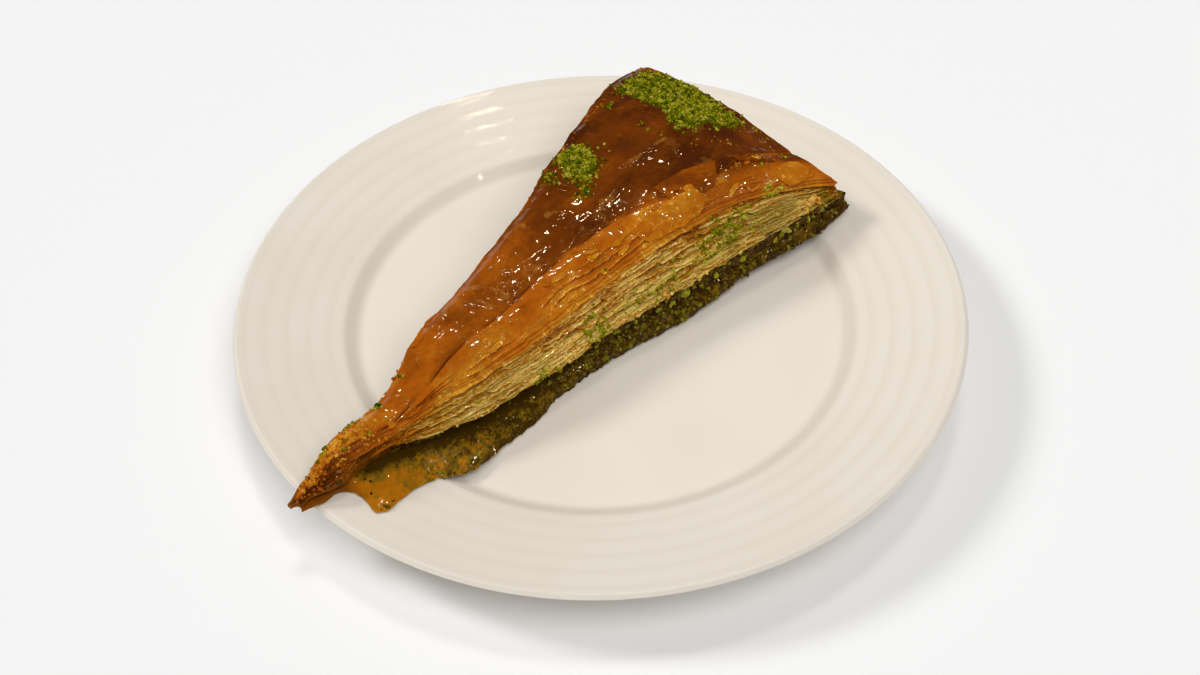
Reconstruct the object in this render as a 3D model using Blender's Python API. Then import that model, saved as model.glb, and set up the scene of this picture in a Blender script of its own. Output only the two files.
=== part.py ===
"""A long slice of pistachio baklava, cut from a round tray, lying on its round rimmed plate.

Sizes are in metres and +Z is up. The origin is the centre of the plate's foot, which stands on Z = 0.
A place in the slice is given by its distance from the slice's tip, its distance across the slice
(less than zero on the near cut, more than zero on the far one) and its height over the slice's base.
"""

import math
import random

import bmesh
import bpy
import numpy as np
from mathutils import Matrix, Vector, noise
from mathutils.bvhtree import BVHTree

# The plate
PLATE_RADIUS = 0.1275
PLATE_HEIGHT = 0.0220
PLATE_SIDES = 60
FLOOR_RADIUS = 0.0855
FLOOR_HEIGHT = 0.0090
WELL_RADIUS = 0.0905
WELL_HEIGHT = 0.0125
RIM_TOP_RADIUS = 0.1262
RIM_THICKNESS = 0.0040
EDGE_THICKNESS = 0.0032
RING_COUNT = 5
FIRST_RING_RADIUS = 0.0937
RING_SPACING = 0.00715
RING_RELIEF = 0.00022
RING_DROP = 0.0008
FLOOR_ROUNDING = 0.0022
WELL_ROUNDING = 0.0014
EDGE_ROUNDING = 0.0008
UNDERSIDE_ROUNDING = 0.0030
FOOT_ROUNDING = 0.0005
FOOT_OUTER_RADIUS = 0.0755
FOOT_INNER_RADIUS = 0.0712
FOOT_SPLAY = 0.0016
UNDERSIDE_HEIGHT = 0.0044
SHARP_ANGLE = math.radians(35.0)

# The slice: where its tip lies, which way it points and how it is cut
TIP_PLACE = Vector((-0.0959, -0.0920, 0.0))
SLICE_BEARING = math.radians(48.0)
WEDGE_ANGLE = math.radians(24.0)
SLICE_LENGTH = 0.2340
SLICE_START = 0.0020
TIP_HALF_WIDTH = 0.0006

# How the slice lies: on the rim at both ends and on the floor between them
PLATE_GAP = 0.00055
LAYER_GAP = 0.0003
REST_RADIUS = 0.0630
TIP_HEIGHT = 0.0227
TIP_DROOP = 0.0022
BRIDGE_START = 0.1500
BRIDGE_RISE = 0.0068
BRIDGE_SOFTNESS = 0.0018

# Heights over the base, each as (distance from the tip, height) stations
BOTTOM_TOP = ((0.001, 0.0010), (0.020, 0.0034), (0.060, 0.0050), (0.200, 0.0050), (0.234, 0.0036))
FILLING_TOP = (
    (0.001, 0.0019),
    (0.020, 0.0056),
    (0.060, 0.0098),
    (0.120, 0.0110),
    (0.200, 0.0104),
    (0.234, 0.0068),
)
TERRACE_TOP = (
    (0.001, 0.0038),
    (0.009, 0.0064),
    (0.022, 0.0118),
    (0.045, 0.0140),
    (0.062, 0.0185),
    (0.085, 0.0230),
    (0.115, 0.0252),
    (0.190, 0.0250),
    (0.212, 0.0216),
    (0.234, 0.0158),
)
SLICE_TOP = (
    (0.001, 0.0040),
    (0.009, 0.0068),
    (0.013, 0.0102),
    (0.018, 0.0132),
    (0.045, 0.0146),
    (0.055, 0.0180),
    (0.066, 0.0255),
    (0.093, 0.0292),
    (0.120, 0.0314),
    (0.185, 0.0325),
    (0.208, 0.0308),
    (0.222, 0.0278),
    (0.234, 0.0232),
)

# How far each edge lies inside the near cut, as (distance from the tip, inset) stations
BOTTOM_REACH = (
    (0.001, 0.0002),
    (0.007, 0.0024),
    (0.019, 0.0032),
    (0.023, 0.0085),
    (0.027, 0.0138),
    (0.031, 0.0118),
    (0.043, 0.0094),
    (0.058, 0.0129),
    (0.068, 0.0106),
    (0.083, 0.0074),
    (0.101, 0.0031),
    (0.128, 0.0010),
    (0.158, 0.0026),
    (0.188, 0.0002),
    (0.212, 0.0019),
    (0.234, 0.0),
)
FAR_INSET = ((0.001, 0.0), (0.060, 0.0014), (0.130, 0.0032), (0.165, 0.0004), (0.222, 0.0), (0.234, 0.0020))
FILLING_INSET = (
    (0.001, 0.0001),
    (0.016, -0.0008),
    (0.028, 0.0026),
    (0.058, 0.0022),
    (0.110, 0.0026),
    (0.234, 0.0012),
)
STACK_INSET = (
    (0.001, 0.0001),
    (0.014, -0.0014),
    (0.028, 0.0040),
    (0.043, 0.0018),
    (0.058, -0.0010),
    (0.100, -0.0012),
    (0.125, 0.0008),
    (0.165, 0.0012),
    (0.197, 0.0016),
    (0.234, 0.0024),
)
TERRACE_INSET = (
    (0.001, 0.0004),
    (0.020, 0.0026),
    (0.046, 0.0070),
    (0.072, 0.0058),
    (0.090, 0.0052),
    (0.112, 0.0087),
    (0.172, 0.0134),
    (0.212, 0.0096),
    (0.234, 0.0056),
)
CREASE_INSET = (
    (0.001, 0.0008),
    (0.027, 0.0044),
    (0.050, 0.0098),
    (0.088, 0.0165),
    (0.127, 0.0244),
    (0.151, 0.0262),
    (0.184, 0.0196),
    (0.206, 0.0235),
    (0.234, 0.0230),
)

# The steps of browned sheets up the near cut, as (share of the inset, share of the height)
NEAR_STEPS = (
    (0.00, 0.00),
    (-0.04, 0.20),
    (0.16, 0.34),
    (0.20, 0.52),
    (0.44, 0.58),
    (0.50, 0.74),
    (0.72, 0.79),
    (0.77, 0.90),
    (0.96, 0.93),
    (1.00, 1.00),
)

# The crust: it steps up past the crease, bulges and rounds off, with full relief from some way past the tip
FULL_DISTANCE = 0.0300
CREASE_STEP = 0.0009
CREASE_WIDTH = 0.0012
CREASE_WIDTH_SHARE = 0.2
DOME_RISE = 0.0011
FAR_TOP_DROP = 0.0016
FAR_ROUNDING = 0.0045

# How far each layer stands out of the far cut, and how the tray edge leans in and sinks,
# where the crust's inset goes with the share of the way across
BOTTOM_FAR_REACH = 0.0022
FILLING_FAR_REACH = 0.0012
TOP_FAR_REACH = 0.0011
LEAN_START = 0.1900
CRUST_END_INSET = ((0.0, 0.0060), (0.2, 0.0072), (0.4, 0.0096), (0.7, 0.0068), (1.0, 0.0046))
STACK_END_INSET = 0.0040
NEAR_END_FALL = 0.0050
FILLING_END_INSET = 0.0012

# The bottom sheets thin out towards their near edge and draw in at their top
EDGE_THINNING = 0.0060
EDGE_THICKNESS_SHARE = 0.42
BOTTOM_TOP_DRAW = 0.25

# Uneven surfaces: how deep and how wide
WRINKLE_DEPTH = 0.0007
WRINKLE_SIZE = 0.0140
CRUMBLE_SIZE = 0.0045
STACK_CRUMBLE_DEPTH = 0.0006
FILLING_CRUMBLE_DEPTH = 0.0011

# Ground pistachio, as (distance, across, half length, half width, number) heaps on the crust
CRUMB_HEAPS = (
    (0.2225, 0.0285, 0.0100, 0.0135, 26),
    (0.2130, 0.0090, 0.0100, 0.0110, 16),
    (0.1620, 0.0235, 0.0075, 0.0085, 15),
    (0.1510, 0.0200, 0.0030, 0.0110, 5),
)
HEAP_RISE = 0.0020
CRUMB_RADIUS = (0.0011, 0.0019)
CRUMB_SINK = 0.45

# Single crumbs on the crust, as (distance from the tip, distance across)
STRAY_CRUMBS = (
    (0.2056, 0.0390),
    (0.1963, 0.0360),
    (0.1896, 0.0150),
    (0.2215, -0.0110),
    (0.2205, -0.0180),
    (0.0560, 0.0085),
    (0.0440, 0.0074),
    (0.0425, 0.0062),
    (0.0315, 0.0055),
    (0.0165, 0.0022),
)

# Larger bits of nut, as (distance from the tip, height over the base) on the near cut
STACK_BITS = (
    (0.156, 0.0160),
    (0.162, 0.0185),
    (0.170, 0.0170),
    (0.178, 0.0195),
    (0.187, 0.0190),
    (0.118, 0.0150),
    (0.138, 0.0155),
    (0.146, 0.0160),
)
FILLING_BITS = (
    (0.066, 0.0074),
    (0.078, 0.0079),
    (0.091, 0.0078),
    (0.099, 0.0082),
    (0.113, 0.0080),
    (0.127, 0.0079),
    (0.141, 0.0082),
    (0.152, 0.0078),
    (0.157, 0.0082),
    (0.171, 0.0078),
    (0.186, 0.0081),
    (0.201, 0.0077),
)
BIT_RADIUS = (0.0013, 0.0018)
BIT_UNEVENNESS = (0.8, 1.2)

# Lifted flakes of crust on the far edge, as (distance from the tip, length, width, tilt)
FLAKES = ((0.0665, 0.0080, 0.0036, math.radians(35.0)), (0.0760, 0.0095, 0.0036, math.radians(20.0)))
FLAKE_THICKNESS = 0.0008
FLAKE_CURL = 0.0009
FLAKE_INSET = 0.0030
GOLDEN_ANGLE = math.radians(137.508)
BIT_SEED = 7

# Cells along, across and up each layer, and how they crowd towards the tip and the near cut
BOTTOM_CELLS = (38, 8, 2)
BOTTOM_CROWDING = (1.15, 1.5)
FILLING_CELLS = (42, 7, 2)
TOP_CELLS = (44, 13, len(NEAR_STEPS) - 1)
LAYER_CROWDING = (1.15, 1.0)
SLOPE_SHARE = 5 / 13
CREASE_SHARE = 6 / 13
CAST_DISTANCE = 0.080


def smoothstep(low, high, value):
    """0 below low, 1 above high and a smooth rise between them."""
    share = min(max((value - low) / (high - low), 0.0), 1.0)
    return share * share * (3.0 - 2.0 * share)


def at_place(stations, place):
    """Smooth value at a place along (place, value) stations."""
    places, values = (np.array(row) for row in zip(*stations))
    slopes = np.gradient(values, places)
    place = min(max(place, places[0]), places[-1])
    left = min(int(np.searchsorted(places, place, side="right")) - 1, len(places) - 2)
    span = places[left + 1] - places[left]
    share = (place - places[left]) / span
    start = (1 + 2 * share) * (1 - share) ** 2 * values[left] + share * (1 - share) ** 2 * span * slopes[left]
    end = share**2 * (3 - 2 * share) * values[left + 1] + share**2 * (share - 1) * span * slopes[left + 1]
    return float(start + end)


def material(name, colour, roughness):
    """Principled material of a piece."""
    made = bpy.data.materials.new(name)
    made.use_nodes = True
    shader = made.node_tree.nodes["Principled BSDF"]
    shader.inputs["Base Color"].default_value = (*colour, 1.0)
    shader.inputs["Roughness"].default_value = roughness
    shader.inputs["Metallic"].default_value = 0.0
    return made


def add_piece(name, shape, finish):
    """Turns a bmesh into a named object with its material and outward faces."""
    bmesh.ops.recalc_face_normals(shape, faces=shape.faces)
    mesh = bpy.data.meshes.new(name)
    shape.to_mesh(mesh)
    shape.free()
    mesh.materials.append(finish)
    piece = bpy.data.objects.new(name, mesh)
    bpy.context.scene.collection.objects.link(piece)
    return piece


def rounded_profile(corners, steps):
    """Profile of (radius, height) points through (radius, height, rounding) corners."""
    profile = []
    for index, (radius, height, rounding) in enumerate(corners):
        corner = Vector((radius, height))
        if rounding == 0.0:
            profile.append(corner)
            continue
        before = Vector(corners[index - 1][:2])
        after = Vector(corners[index + 1][:2])
        start = corner + (before - corner).normalized() * rounding
        end = corner + (after - corner).normalized() * rounding
        for step in range(steps + 1):
            share = step / steps
            profile.append(start.lerp(corner, share).lerp(corner.lerp(end, share), share))
    return profile


def rim_face_height(radius):
    """Height of the rim's upper face, without its rings, at a distance from the plate's centre."""
    slope = (PLATE_HEIGHT - WELL_HEIGHT) / (RIM_TOP_RADIUS - WELL_RADIUS)
    return WELL_HEIGHT + slope * (radius - WELL_RADIUS)


def make_plate():
    """Turned plate: flat floor, low well wall, wide rim with stepped rings, rounded edge and foot ring."""
    corners = [
        (0.0, FLOOR_HEIGHT, 0.0),
        (FLOOR_RADIUS, FLOOR_HEIGHT, FLOOR_ROUNDING),
        (WELL_RADIUS, WELL_HEIGHT, WELL_ROUNDING),
    ]
    for ring in range(RING_COUNT):
        radius = FIRST_RING_RADIUS + ring * RING_SPACING
        corners.append((radius, rim_face_height(radius) + RING_RELIEF, 0.0))
        corners.append((radius + RING_DROP, rim_face_height(radius + RING_DROP), 0.0))
    well_underside = WELL_HEIGHT - RIM_THICKNESS
    corners += [
        (RIM_TOP_RADIUS, PLATE_HEIGHT, EDGE_ROUNDING),
        (PLATE_RADIUS, PLATE_HEIGHT - 0.5 * EDGE_THICKNESS, 0.0),
        (RIM_TOP_RADIUS, PLATE_HEIGHT - EDGE_THICKNESS, EDGE_ROUNDING),
        (WELL_RADIUS, well_underside, UNDERSIDE_ROUNDING),
        (FOOT_OUTER_RADIUS + FOOT_SPLAY, UNDERSIDE_HEIGHT, 0.0),
        (FOOT_OUTER_RADIUS, 0.0, FOOT_ROUNDING),
        (FOOT_INNER_RADIUS, 0.0, FOOT_ROUNDING),
        (FOOT_INNER_RADIUS - FOOT_SPLAY, UNDERSIDE_HEIGHT, 0.0),
        (0.0, UNDERSIDE_HEIGHT, 0.0),
    ]
    shape = bmesh.new()
    line = [shape.verts.new((radius, 0.0, height)) for radius, height in rounded_profile(corners, 1)]
    edges = [shape.edges.new(pair) for pair in zip(line, line[1:])]
    bmesh.ops.spin(
        shape,
        geom=line + edges,
        axis=(0.0, 0.0, 1.0),
        cent=(0.0, 0.0, 0.0),
        angle=math.tau,
        steps=PLATE_SIDES,
        use_merge=True,
    )
    bmesh.ops.remove_doubles(shape, verts=shape.verts, dist=1e-6)
    plate = add_piece("plate", shape, material("glazed_white", (0.86, 0.84, 0.79), 0.12))
    plate.data.shade_smooth()
    plate.data.set_sharp_from_angle(angle=SHARP_ANGLE)
    return plate


def near_cut(distance):
    """Half the slice's width, from its middle line to its cut, at a distance from the tip."""
    return TIP_HALF_WIDTH + distance * math.sin(0.5 * WEDGE_ANGLE)


def on_plate(distance, across):
    """Plan position of a point that far from the tip, which lies that far across the slice."""
    along = math.sqrt(max(distance**2 - across**2, 0.0))
    forward = Vector((math.cos(SLICE_BEARING), math.sin(SLICE_BEARING), 0.0))
    sideways = Vector((-math.sin(SLICE_BEARING), math.cos(SLICE_BEARING), 0.0))
    return TIP_PLACE + forward * along + sideways * across


def base_height(place, distance):
    """Height of the slice's underside: carried by the rim, the floor, or bridging between them."""
    radius = place.length
    floor_rest = FLOOR_HEIGHT + PLATE_GAP
    well_rest = rim_face_height(WELL_RADIUS) + PLATE_GAP
    dip = floor_rest + (well_rest - floor_rest) * max(radius - REST_RADIUS, 0.0) / (WELL_RADIUS - REST_RADIUS)
    rest = dip if radius < WELL_RADIUS else min(rim_face_height(radius) + PLATE_GAP, TIP_HEIGHT)
    rest -= TIP_DROOP * smoothstep(RIM_TOP_RADIUS, TIP_PLACE.length, radius)
    bridge_share = (distance - BRIDGE_START) / (SLICE_LENGTH - BRIDGE_START)
    bridge = floor_rest + BRIDGE_RISE * bridge_share
    return 0.5 * (rest + bridge + math.hypot(rest - bridge, BRIDGE_SOFTNESS))


def block_of_cells(lengthwise, crosswise, upward):
    """Unit block from 0 to 1 each way whose sides are divided into even cells."""
    block = bmesh.new()
    bmesh.ops.create_grid(block, x_segments=lengthwise, y_segments=crosswise, size=0.5)
    bmesh.ops.translate(block, verts=block.verts, vec=(0.5, 0.5, 0.0))
    sheet = block.faces[:]
    for level in range(upward):
        raised = bmesh.ops.extrude_face_region(block, geom=sheet)["geom"]
        if level > 0:
            bmesh.ops.delete(block, geom=sheet, context="FACES")
        sheet = [item for item in raised if isinstance(item, bmesh.types.BMFace)]
        corners = [item for item in raised if isinstance(item, bmesh.types.BMVert)]
        bmesh.ops.translate(block, verts=corners, vec=(0.0, 0.0, 1.0 / upward))
    return block


def unevenness(place, size, depth):
    """Smooth bumps of a size and depth, the same at each run."""
    return depth * noise.noise(place / size)


def slice_piece(name, cells, crowding, shape_at, finish):
    """Shapes a block of cells into one layer, where shape_at gives distance, across and height."""
    block = block_of_cells(*cells)
    for corner in block.verts:
        along, over, up = corner.co
        distance = SLICE_START + (SLICE_LENGTH - SLICE_START) * along ** crowding[0]
        across_share = over ** crowding[1]
        distance, across, height = shape_at(distance, across_share, up)
        place = on_plate(distance, across)
        corner.co = (place.x, place.y, base_height(place, distance) + height)
    return add_piece(name, block, finish)


def spread(distance, across_share, near_inset, far_inset):
    """Distance across the slice for a share of the way from its near edge to its far edge."""
    half = near_cut(distance)
    return (-half + near_inset) * (1.0 - across_share) + (half - far_inset) * across_share


def end_lean(distance, across_share, height_share):
    """Pulls the tray edge of the upper sheets back towards the tip, more so at its top."""
    low_inset = STACK_END_INSET * (1.0 - across_share)
    inset = low_inset + (at_place(CRUST_END_INSET, across_share) - low_inset) * height_share
    return distance - inset * smoothstep(LEAN_START, SLICE_LENGTH, distance)


def bottom_shape(distance, across_share, up):
    """Soaked bottom sheets, which spread out past the near cut and end there in a thin edge."""
    reach = at_place(BOTTOM_REACH, distance)
    across = spread(distance, across_share, -reach * (1.0 - BOTTOM_TOP_DRAW * up), -BOTTOM_FAR_REACH)
    inside = smoothstep(0.0, EDGE_THINNING + reach, across + near_cut(distance) + reach)
    thickness = at_place(BOTTOM_TOP, distance) * (EDGE_THICKNESS_SHARE + (1.0 - EDGE_THICKNESS_SHARE) * inside)
    return distance, across, thickness * up


def filling_shape(distance, across_share, up):
    """Chopped pistachio between the sheets, a little sunk into the near cut."""
    distance -= FILLING_END_INSET * smoothstep(LEAN_START, SLICE_LENGTH, distance)
    low = at_place(BOTTOM_TOP, distance) + LAYER_GAP
    high = at_place(FILLING_TOP, distance)
    inset = at_place(FILLING_INSET, distance)
    across = spread(distance, across_share, inset, -FILLING_FAR_REACH)
    crumble = unevenness(Vector((distance, high * up, 0.0)), CRUMBLE_SIZE, FILLING_CRUMBLE_DEPTH)
    crumble *= smoothstep(0.0, FULL_DISTANCE, distance) * abs(1.0 - 2.0 * across_share)
    return distance, across + crumble, low + (high - low) * up


def heap_rise(distance, across):
    """Height that the heaps of ground pistachio add to the crust."""
    rise = 0.0
    for middle, side, half_length, half_width, _ in CRUMB_HEAPS:
        off_centre = math.hypot((distance - middle) / half_length, (across - side) / half_width)
        rise = max(rise, HEAP_RISE * (1.0 - smoothstep(0.7, 1.15, off_centre)))
    return rise


def crust_shape(distance, across_share, near_inset, far_inset):
    """Distance across and height of the crust: slope up to the crease, step, then the wrinkled top."""
    half = near_cut(distance)
    crease = at_place(CREASE_INSET, distance) - half
    fullness = smoothstep(0.0, FULL_DISTANCE, distance)
    terrace = at_place(TERRACE_TOP, distance)
    sunk_end = NEAR_END_FALL * smoothstep(LEAN_START, SLICE_LENGTH, distance)
    top = at_place(SLICE_TOP, distance) - sunk_end * (1.0 - across_share)
    step = CREASE_STEP * fullness
    step_width = min(CREASE_WIDTH, CREASE_WIDTH_SHARE * half)
    up_slope = min(across_share / SLOPE_SHARE, 1.0)
    up_step = min(max((across_share - SLOPE_SHARE) / (CREASE_SHARE - SLOPE_SHARE), 0.0), 1.0)
    over_top = max((across_share - CREASE_SHARE) / (1.0 - CREASE_SHARE), 0.0)
    across = (near_inset - half) * (1.0 - up_slope) + crease * up_slope + step_width * up_step
    across += (half - far_inset - across) * over_top
    climb = smoothstep(-0.2, 1.0, up_slope)
    height = terrace + (top - step - terrace) * climb + step * up_step
    wrinkles = unevenness(Vector((distance, across, 0.0)), WRINKLE_SIZE, WRINKLE_DEPTH) * climb
    dome = DOME_RISE * math.sin(math.pi * over_top)
    far_drop = FAR_TOP_DROP * (1.0 - smoothstep(0.0, FAR_ROUNDING, half - far_inset - across))
    return across, height + (wrinkles + dome - far_drop) * fullness + heap_rise(distance, across)


def top_shape(distance, across_share, up):
    """Upper sheets: near cut in browned steps, then the crust."""
    step = up * (len(NEAR_STEPS) - 1)
    below = min(int(step), len(NEAR_STEPS) - 2)
    inset_share, height_share = Vector(NEAR_STEPS[below]).lerp(Vector(NEAR_STEPS[below + 1]), step - below)
    stack_inset = at_place(STACK_INSET, distance)
    near_inset = stack_inset + (at_place(TERRACE_INSET, distance) - stack_inset) * inset_share
    far_inset = at_place(FAR_INSET, distance) - TOP_FAR_REACH * (1.0 - up)
    across, crest = crust_shape(distance, across_share, near_inset, far_inset)
    leaned = end_lean(distance, across_share, height_share)
    low = at_place(FILLING_TOP, leaned) + LAYER_GAP
    along_cut = Vector((distance, at_place(TERRACE_TOP, distance) * up, 0.0))
    crumble_depth = STACK_CRUMBLE_DEPTH * smoothstep(0.0, FULL_DISTANCE, distance)
    across += unevenness(along_cut, CRUMBLE_SIZE, crumble_depth) * (1.0 - across_share)
    return leaned, across, low + (crest - low) * height_share


def nut_bit(name, place, radius, draws):
    """Uneven bit of nut with few sides."""
    shape = bmesh.new()
    turn = Matrix.Rotation(draws.uniform(0.0, math.tau), 4, "Z")
    bmesh.ops.create_icosphere(shape, subdivisions=1, radius=radius, matrix=Matrix.Translation(place) @ turn)
    for corner in shape.verts:
        corner.co = place + (corner.co - place) * draws.uniform(*BIT_UNEVENNESS)
    piece = add_piece(name, shape, bpy.data.materials["pistachio_green"])
    bpy.context.scene.collection.objects.unlink(piece)
    return piece


def flake(name, place, length, width, tilt):
    """Thin curled flake that stands out of the far edge, along the slice."""
    shape = bmesh.new()
    bmesh.ops.create_grid(shape, x_segments=4, y_segments=2, size=0.5)
    for corner in shape.verts:
        along, out = corner.co.x, corner.co.y
        corner.co = (along * length, out * width, FLAKE_CURL * (4.0 * out**2 - 4.0 * along**2))
    bmesh.ops.solidify(shape, geom=shape.faces[:], thickness=FLAKE_THICKNESS)
    turn = Matrix.Rotation(SLICE_BEARING + 0.5 * WEDGE_ANGLE, 4, "Z") @ Matrix.Rotation(tilt, 4, "X")
    bmesh.ops.transform(shape, matrix=Matrix.Translation(place) @ turn, verts=shape.verts)
    piece = add_piece(name, shape, bpy.data.materials["browned_crust"])
    bpy.context.scene.collection.objects.unlink(piece)
    return piece


def fuse(piece, bits):
    """Joins bits to a piece by one Boolean union, then keeps its one outer shell."""
    loose = bpy.data.collections.new(piece.name + "_bits")
    bpy.context.scene.collection.children.link(loose)
    for bit in bits:
        loose.objects.link(bit)
    union = piece.modifiers.new("fused_bits", "BOOLEAN")
    union.operation = "UNION"
    union.operand_type = "COLLECTION"
    union.collection = loose
    bpy.context.view_layer.update()
    graph = bpy.context.evaluated_depsgraph_get()
    joined = bpy.data.meshes.new_from_object(piece.evaluated_get(graph))
    piece.modifiers.clear()
    piece.data = joined
    for bit in bits:
        bpy.data.objects.remove(bit)
    bpy.data.collections.remove(loose)
    keep_outer_shell(joined)


def keep_outer_shell(mesh):
    """Drops loose scraps and sealed hollows, which are every shell but the largest."""
    shape = bmesh.new()
    shape.from_mesh(mesh)
    unseen = set(shape.verts)
    shells = []
    while unseen:
        shell = {unseen.pop()}
        edge_of_search = list(shell)
        while edge_of_search:
            corner = edge_of_search.pop()
            neighbours = {edge.other_vert(corner) for edge in corner.link_edges} & unseen
            unseen -= neighbours
            shell |= neighbours
            edge_of_search.extend(neighbours)
        shells.append(shell)
    largest = max(shells, key=len)
    bmesh.ops.delete(shape, geom=[corner for shell in shells if shell is not largest for corner in shell])
    shape.to_mesh(mesh)
    shape.free()


def surface_of(piece):
    """Search tree of a piece's faces, for casting bits onto it."""
    shape = bmesh.new()
    shape.from_mesh(piece.data)
    tree = BVHTree.FromBMesh(shape)
    shape.free()
    return tree


def crumb_places():
    """Places of the crumbs of ground pistachio, spread evenly over each heap, then the single ones."""
    places = []
    for middle, side, half_length, half_width, number in CRUMB_HEAPS:
        for index in range(number):
            reach = math.sqrt((index + 0.5) / number)
            distance = middle + half_length * reach * math.cos(index * GOLDEN_ANGLE)
            places.append((distance, side + half_width * reach * math.sin(index * GOLDEN_ANGLE)))
    return places + list(STRAY_CRUMBS)


def crust_crumbs(tree, draws):
    """Crumbs of ground pistachio, half sunk in the crust."""
    bits = []
    for distance, across in crumb_places():
        over = on_plate(distance, across) + Vector((0.0, 0.0, CAST_DISTANCE))
        found = tree.ray_cast(over, Vector((0.0, 0.0, -1.0)))[0]
        if found is None:
            continue
        radius = draws.uniform(*CRUMB_RADIUS)
        sunk = found - Vector((0.0, 0.0, radius * CRUMB_SINK))
        bits.append(nut_bit(f"crumb_{len(bits)}", sunk, radius, draws))
    return bits


def cut_bits(tree, stations, draws):
    """Larger bits of nut stuck to the near cut."""
    inward = Vector((-math.sin(SLICE_BEARING), math.cos(SLICE_BEARING), 0.0))
    bits = []
    for distance, height in stations:
        side = on_plate(distance, -near_cut(distance))
        level = base_height(side, distance) + height
        outside = Vector((side.x, side.y, level)) - inward * CAST_DISTANCE
        found = tree.ray_cast(outside, inward)[0]
        if found is not None:
            bits.append(nut_bit(f"bit_{len(bits)}", found, draws.uniform(*BIT_RADIUS), draws))
    return bits


def edge_flakes(tree):
    """Lifted flakes along the crust's far edge."""
    flakes = []
    for distance, length, width, tilt in FLAKES:
        over = on_plate(distance, near_cut(distance) - FLAKE_INSET) + Vector((0.0, 0.0, CAST_DISTANCE))
        found = tree.ray_cast(over, Vector((0.0, 0.0, -1.0)))[0]
        flakes.append(flake(f"flake_{len(flakes)}", found, length, width, tilt))
    return flakes


for thing in list(bpy.data.objects):
    bpy.data.objects.remove(thing)

make_plate()
material("pistachio_green", (0.22, 0.27, 0.04), 0.6)
soaked_sheets = material("soaked_sheets", (0.42, 0.20, 0.04), 0.3)
slice_piece("bottom_pastry", BOTTOM_CELLS, BOTTOM_CROWDING, bottom_shape, soaked_sheets)
chopped_nuts = material("chopped_nuts", (0.10, 0.08, 0.02), 0.5)
filling = slice_piece("pistachio_filling", FILLING_CELLS, LAYER_CROWDING, filling_shape, chopped_nuts)
browned_crust = material("browned_crust", (0.40, 0.13, 0.02), 0.25)
top = slice_piece("top_pastry", TOP_CELLS, LAYER_CROWDING, top_shape, browned_crust)

bit_draws = random.Random(BIT_SEED)
fuse(filling, cut_bits(surface_of(filling), FILLING_BITS, bit_draws))
top_surface = surface_of(top)
crumbs = crust_crumbs(top_surface, bit_draws) + cut_bits(top_surface, STACK_BITS, bit_draws)
fuse(top, crumbs + edge_flakes(top_surface))
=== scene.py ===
"""The looks of a slice of pistachio baklava on its plate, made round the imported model.

Sizes are in metres and +Z is up. A place in the slice is given by its distance from the slice's tip, its
distance across the slice (less than zero on the near cut) and its height over the slice's base. Four numbers
for spread_of are a range and what it is carried to.
"""

import math

import bmesh
import bpy
import numpy as np
from mathutils import Matrix, Vector, noise
from mathutils.bvhtree import BVHTree


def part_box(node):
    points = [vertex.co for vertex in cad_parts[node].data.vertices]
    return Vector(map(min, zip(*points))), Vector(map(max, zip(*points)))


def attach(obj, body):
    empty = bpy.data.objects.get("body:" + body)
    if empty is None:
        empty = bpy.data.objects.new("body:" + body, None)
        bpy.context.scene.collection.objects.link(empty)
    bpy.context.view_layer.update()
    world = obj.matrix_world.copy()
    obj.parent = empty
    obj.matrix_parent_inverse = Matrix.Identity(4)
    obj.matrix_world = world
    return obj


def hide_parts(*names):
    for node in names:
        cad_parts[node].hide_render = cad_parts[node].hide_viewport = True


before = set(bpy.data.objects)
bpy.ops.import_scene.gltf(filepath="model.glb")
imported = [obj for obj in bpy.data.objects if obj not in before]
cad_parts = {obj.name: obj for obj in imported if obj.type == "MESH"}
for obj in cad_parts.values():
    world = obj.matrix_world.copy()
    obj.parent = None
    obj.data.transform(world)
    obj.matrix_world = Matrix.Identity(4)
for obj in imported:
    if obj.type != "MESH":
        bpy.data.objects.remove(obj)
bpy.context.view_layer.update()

# Plate
# A round rimmed plate of stoneware, turned in a mould and dipped in a warm white glaze. Five faint rings are
# pressed into the rim's face, and a low wall drops from the rim to the flat floor. It stands on a foot ring.
PLATE_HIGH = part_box("plate")[1]
PLATE_RADIUS = PLATE_HIGH.x
PLATE_HEIGHT = PLATE_HIGH.z
PLATE_SIDES = 240
FLOOR_RADIUS = 0.0855
FLOOR_HEIGHT = 0.0090
WELL_RADIUS = 0.0905
WELL_HEIGHT = 0.0125
RIM_TOP_RADIUS = 0.1262
RIM_THICKNESS = 0.0040
EDGE_THICKNESS = 0.0032
RING_COUNT = 5
FIRST_RING_RADIUS = 0.0937
RING_SPACING = 0.00715
RING_RELIEF = 0.00008
RING_DROP = 0.0024
RING_ROUNDING = 0.0011
FLOOR_ROUNDING = 0.0022
WELL_ROUNDING = 0.0014
EDGE_ROUNDING = 0.0008
UNDERSIDE_ROUNDING = 0.0030
FOOT_ROUNDING = 0.0005
FOOT_OUTER_RADIUS = 0.0755
FOOT_INNER_RADIUS = 0.0712
FOOT_SPLAY = 0.0016
UNDERSIDE_HEIGHT = 0.0044
ROUNDING_STEPS = 5
MERGE_DISTANCE = 1e-6
PLATE_SHARP_ANGLE = math.radians(40.0)
GLAZE_COLOUR = (0.790, 0.722, 0.622)
GLAZE_COLOUR_THIN = (0.810, 0.745, 0.648)
# Colour of the painted shade on the well's wall and behind the rings.
GLAZE_PAINTED_SHADE_COLOUR = (0.66, 0.59, 0.49)
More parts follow.
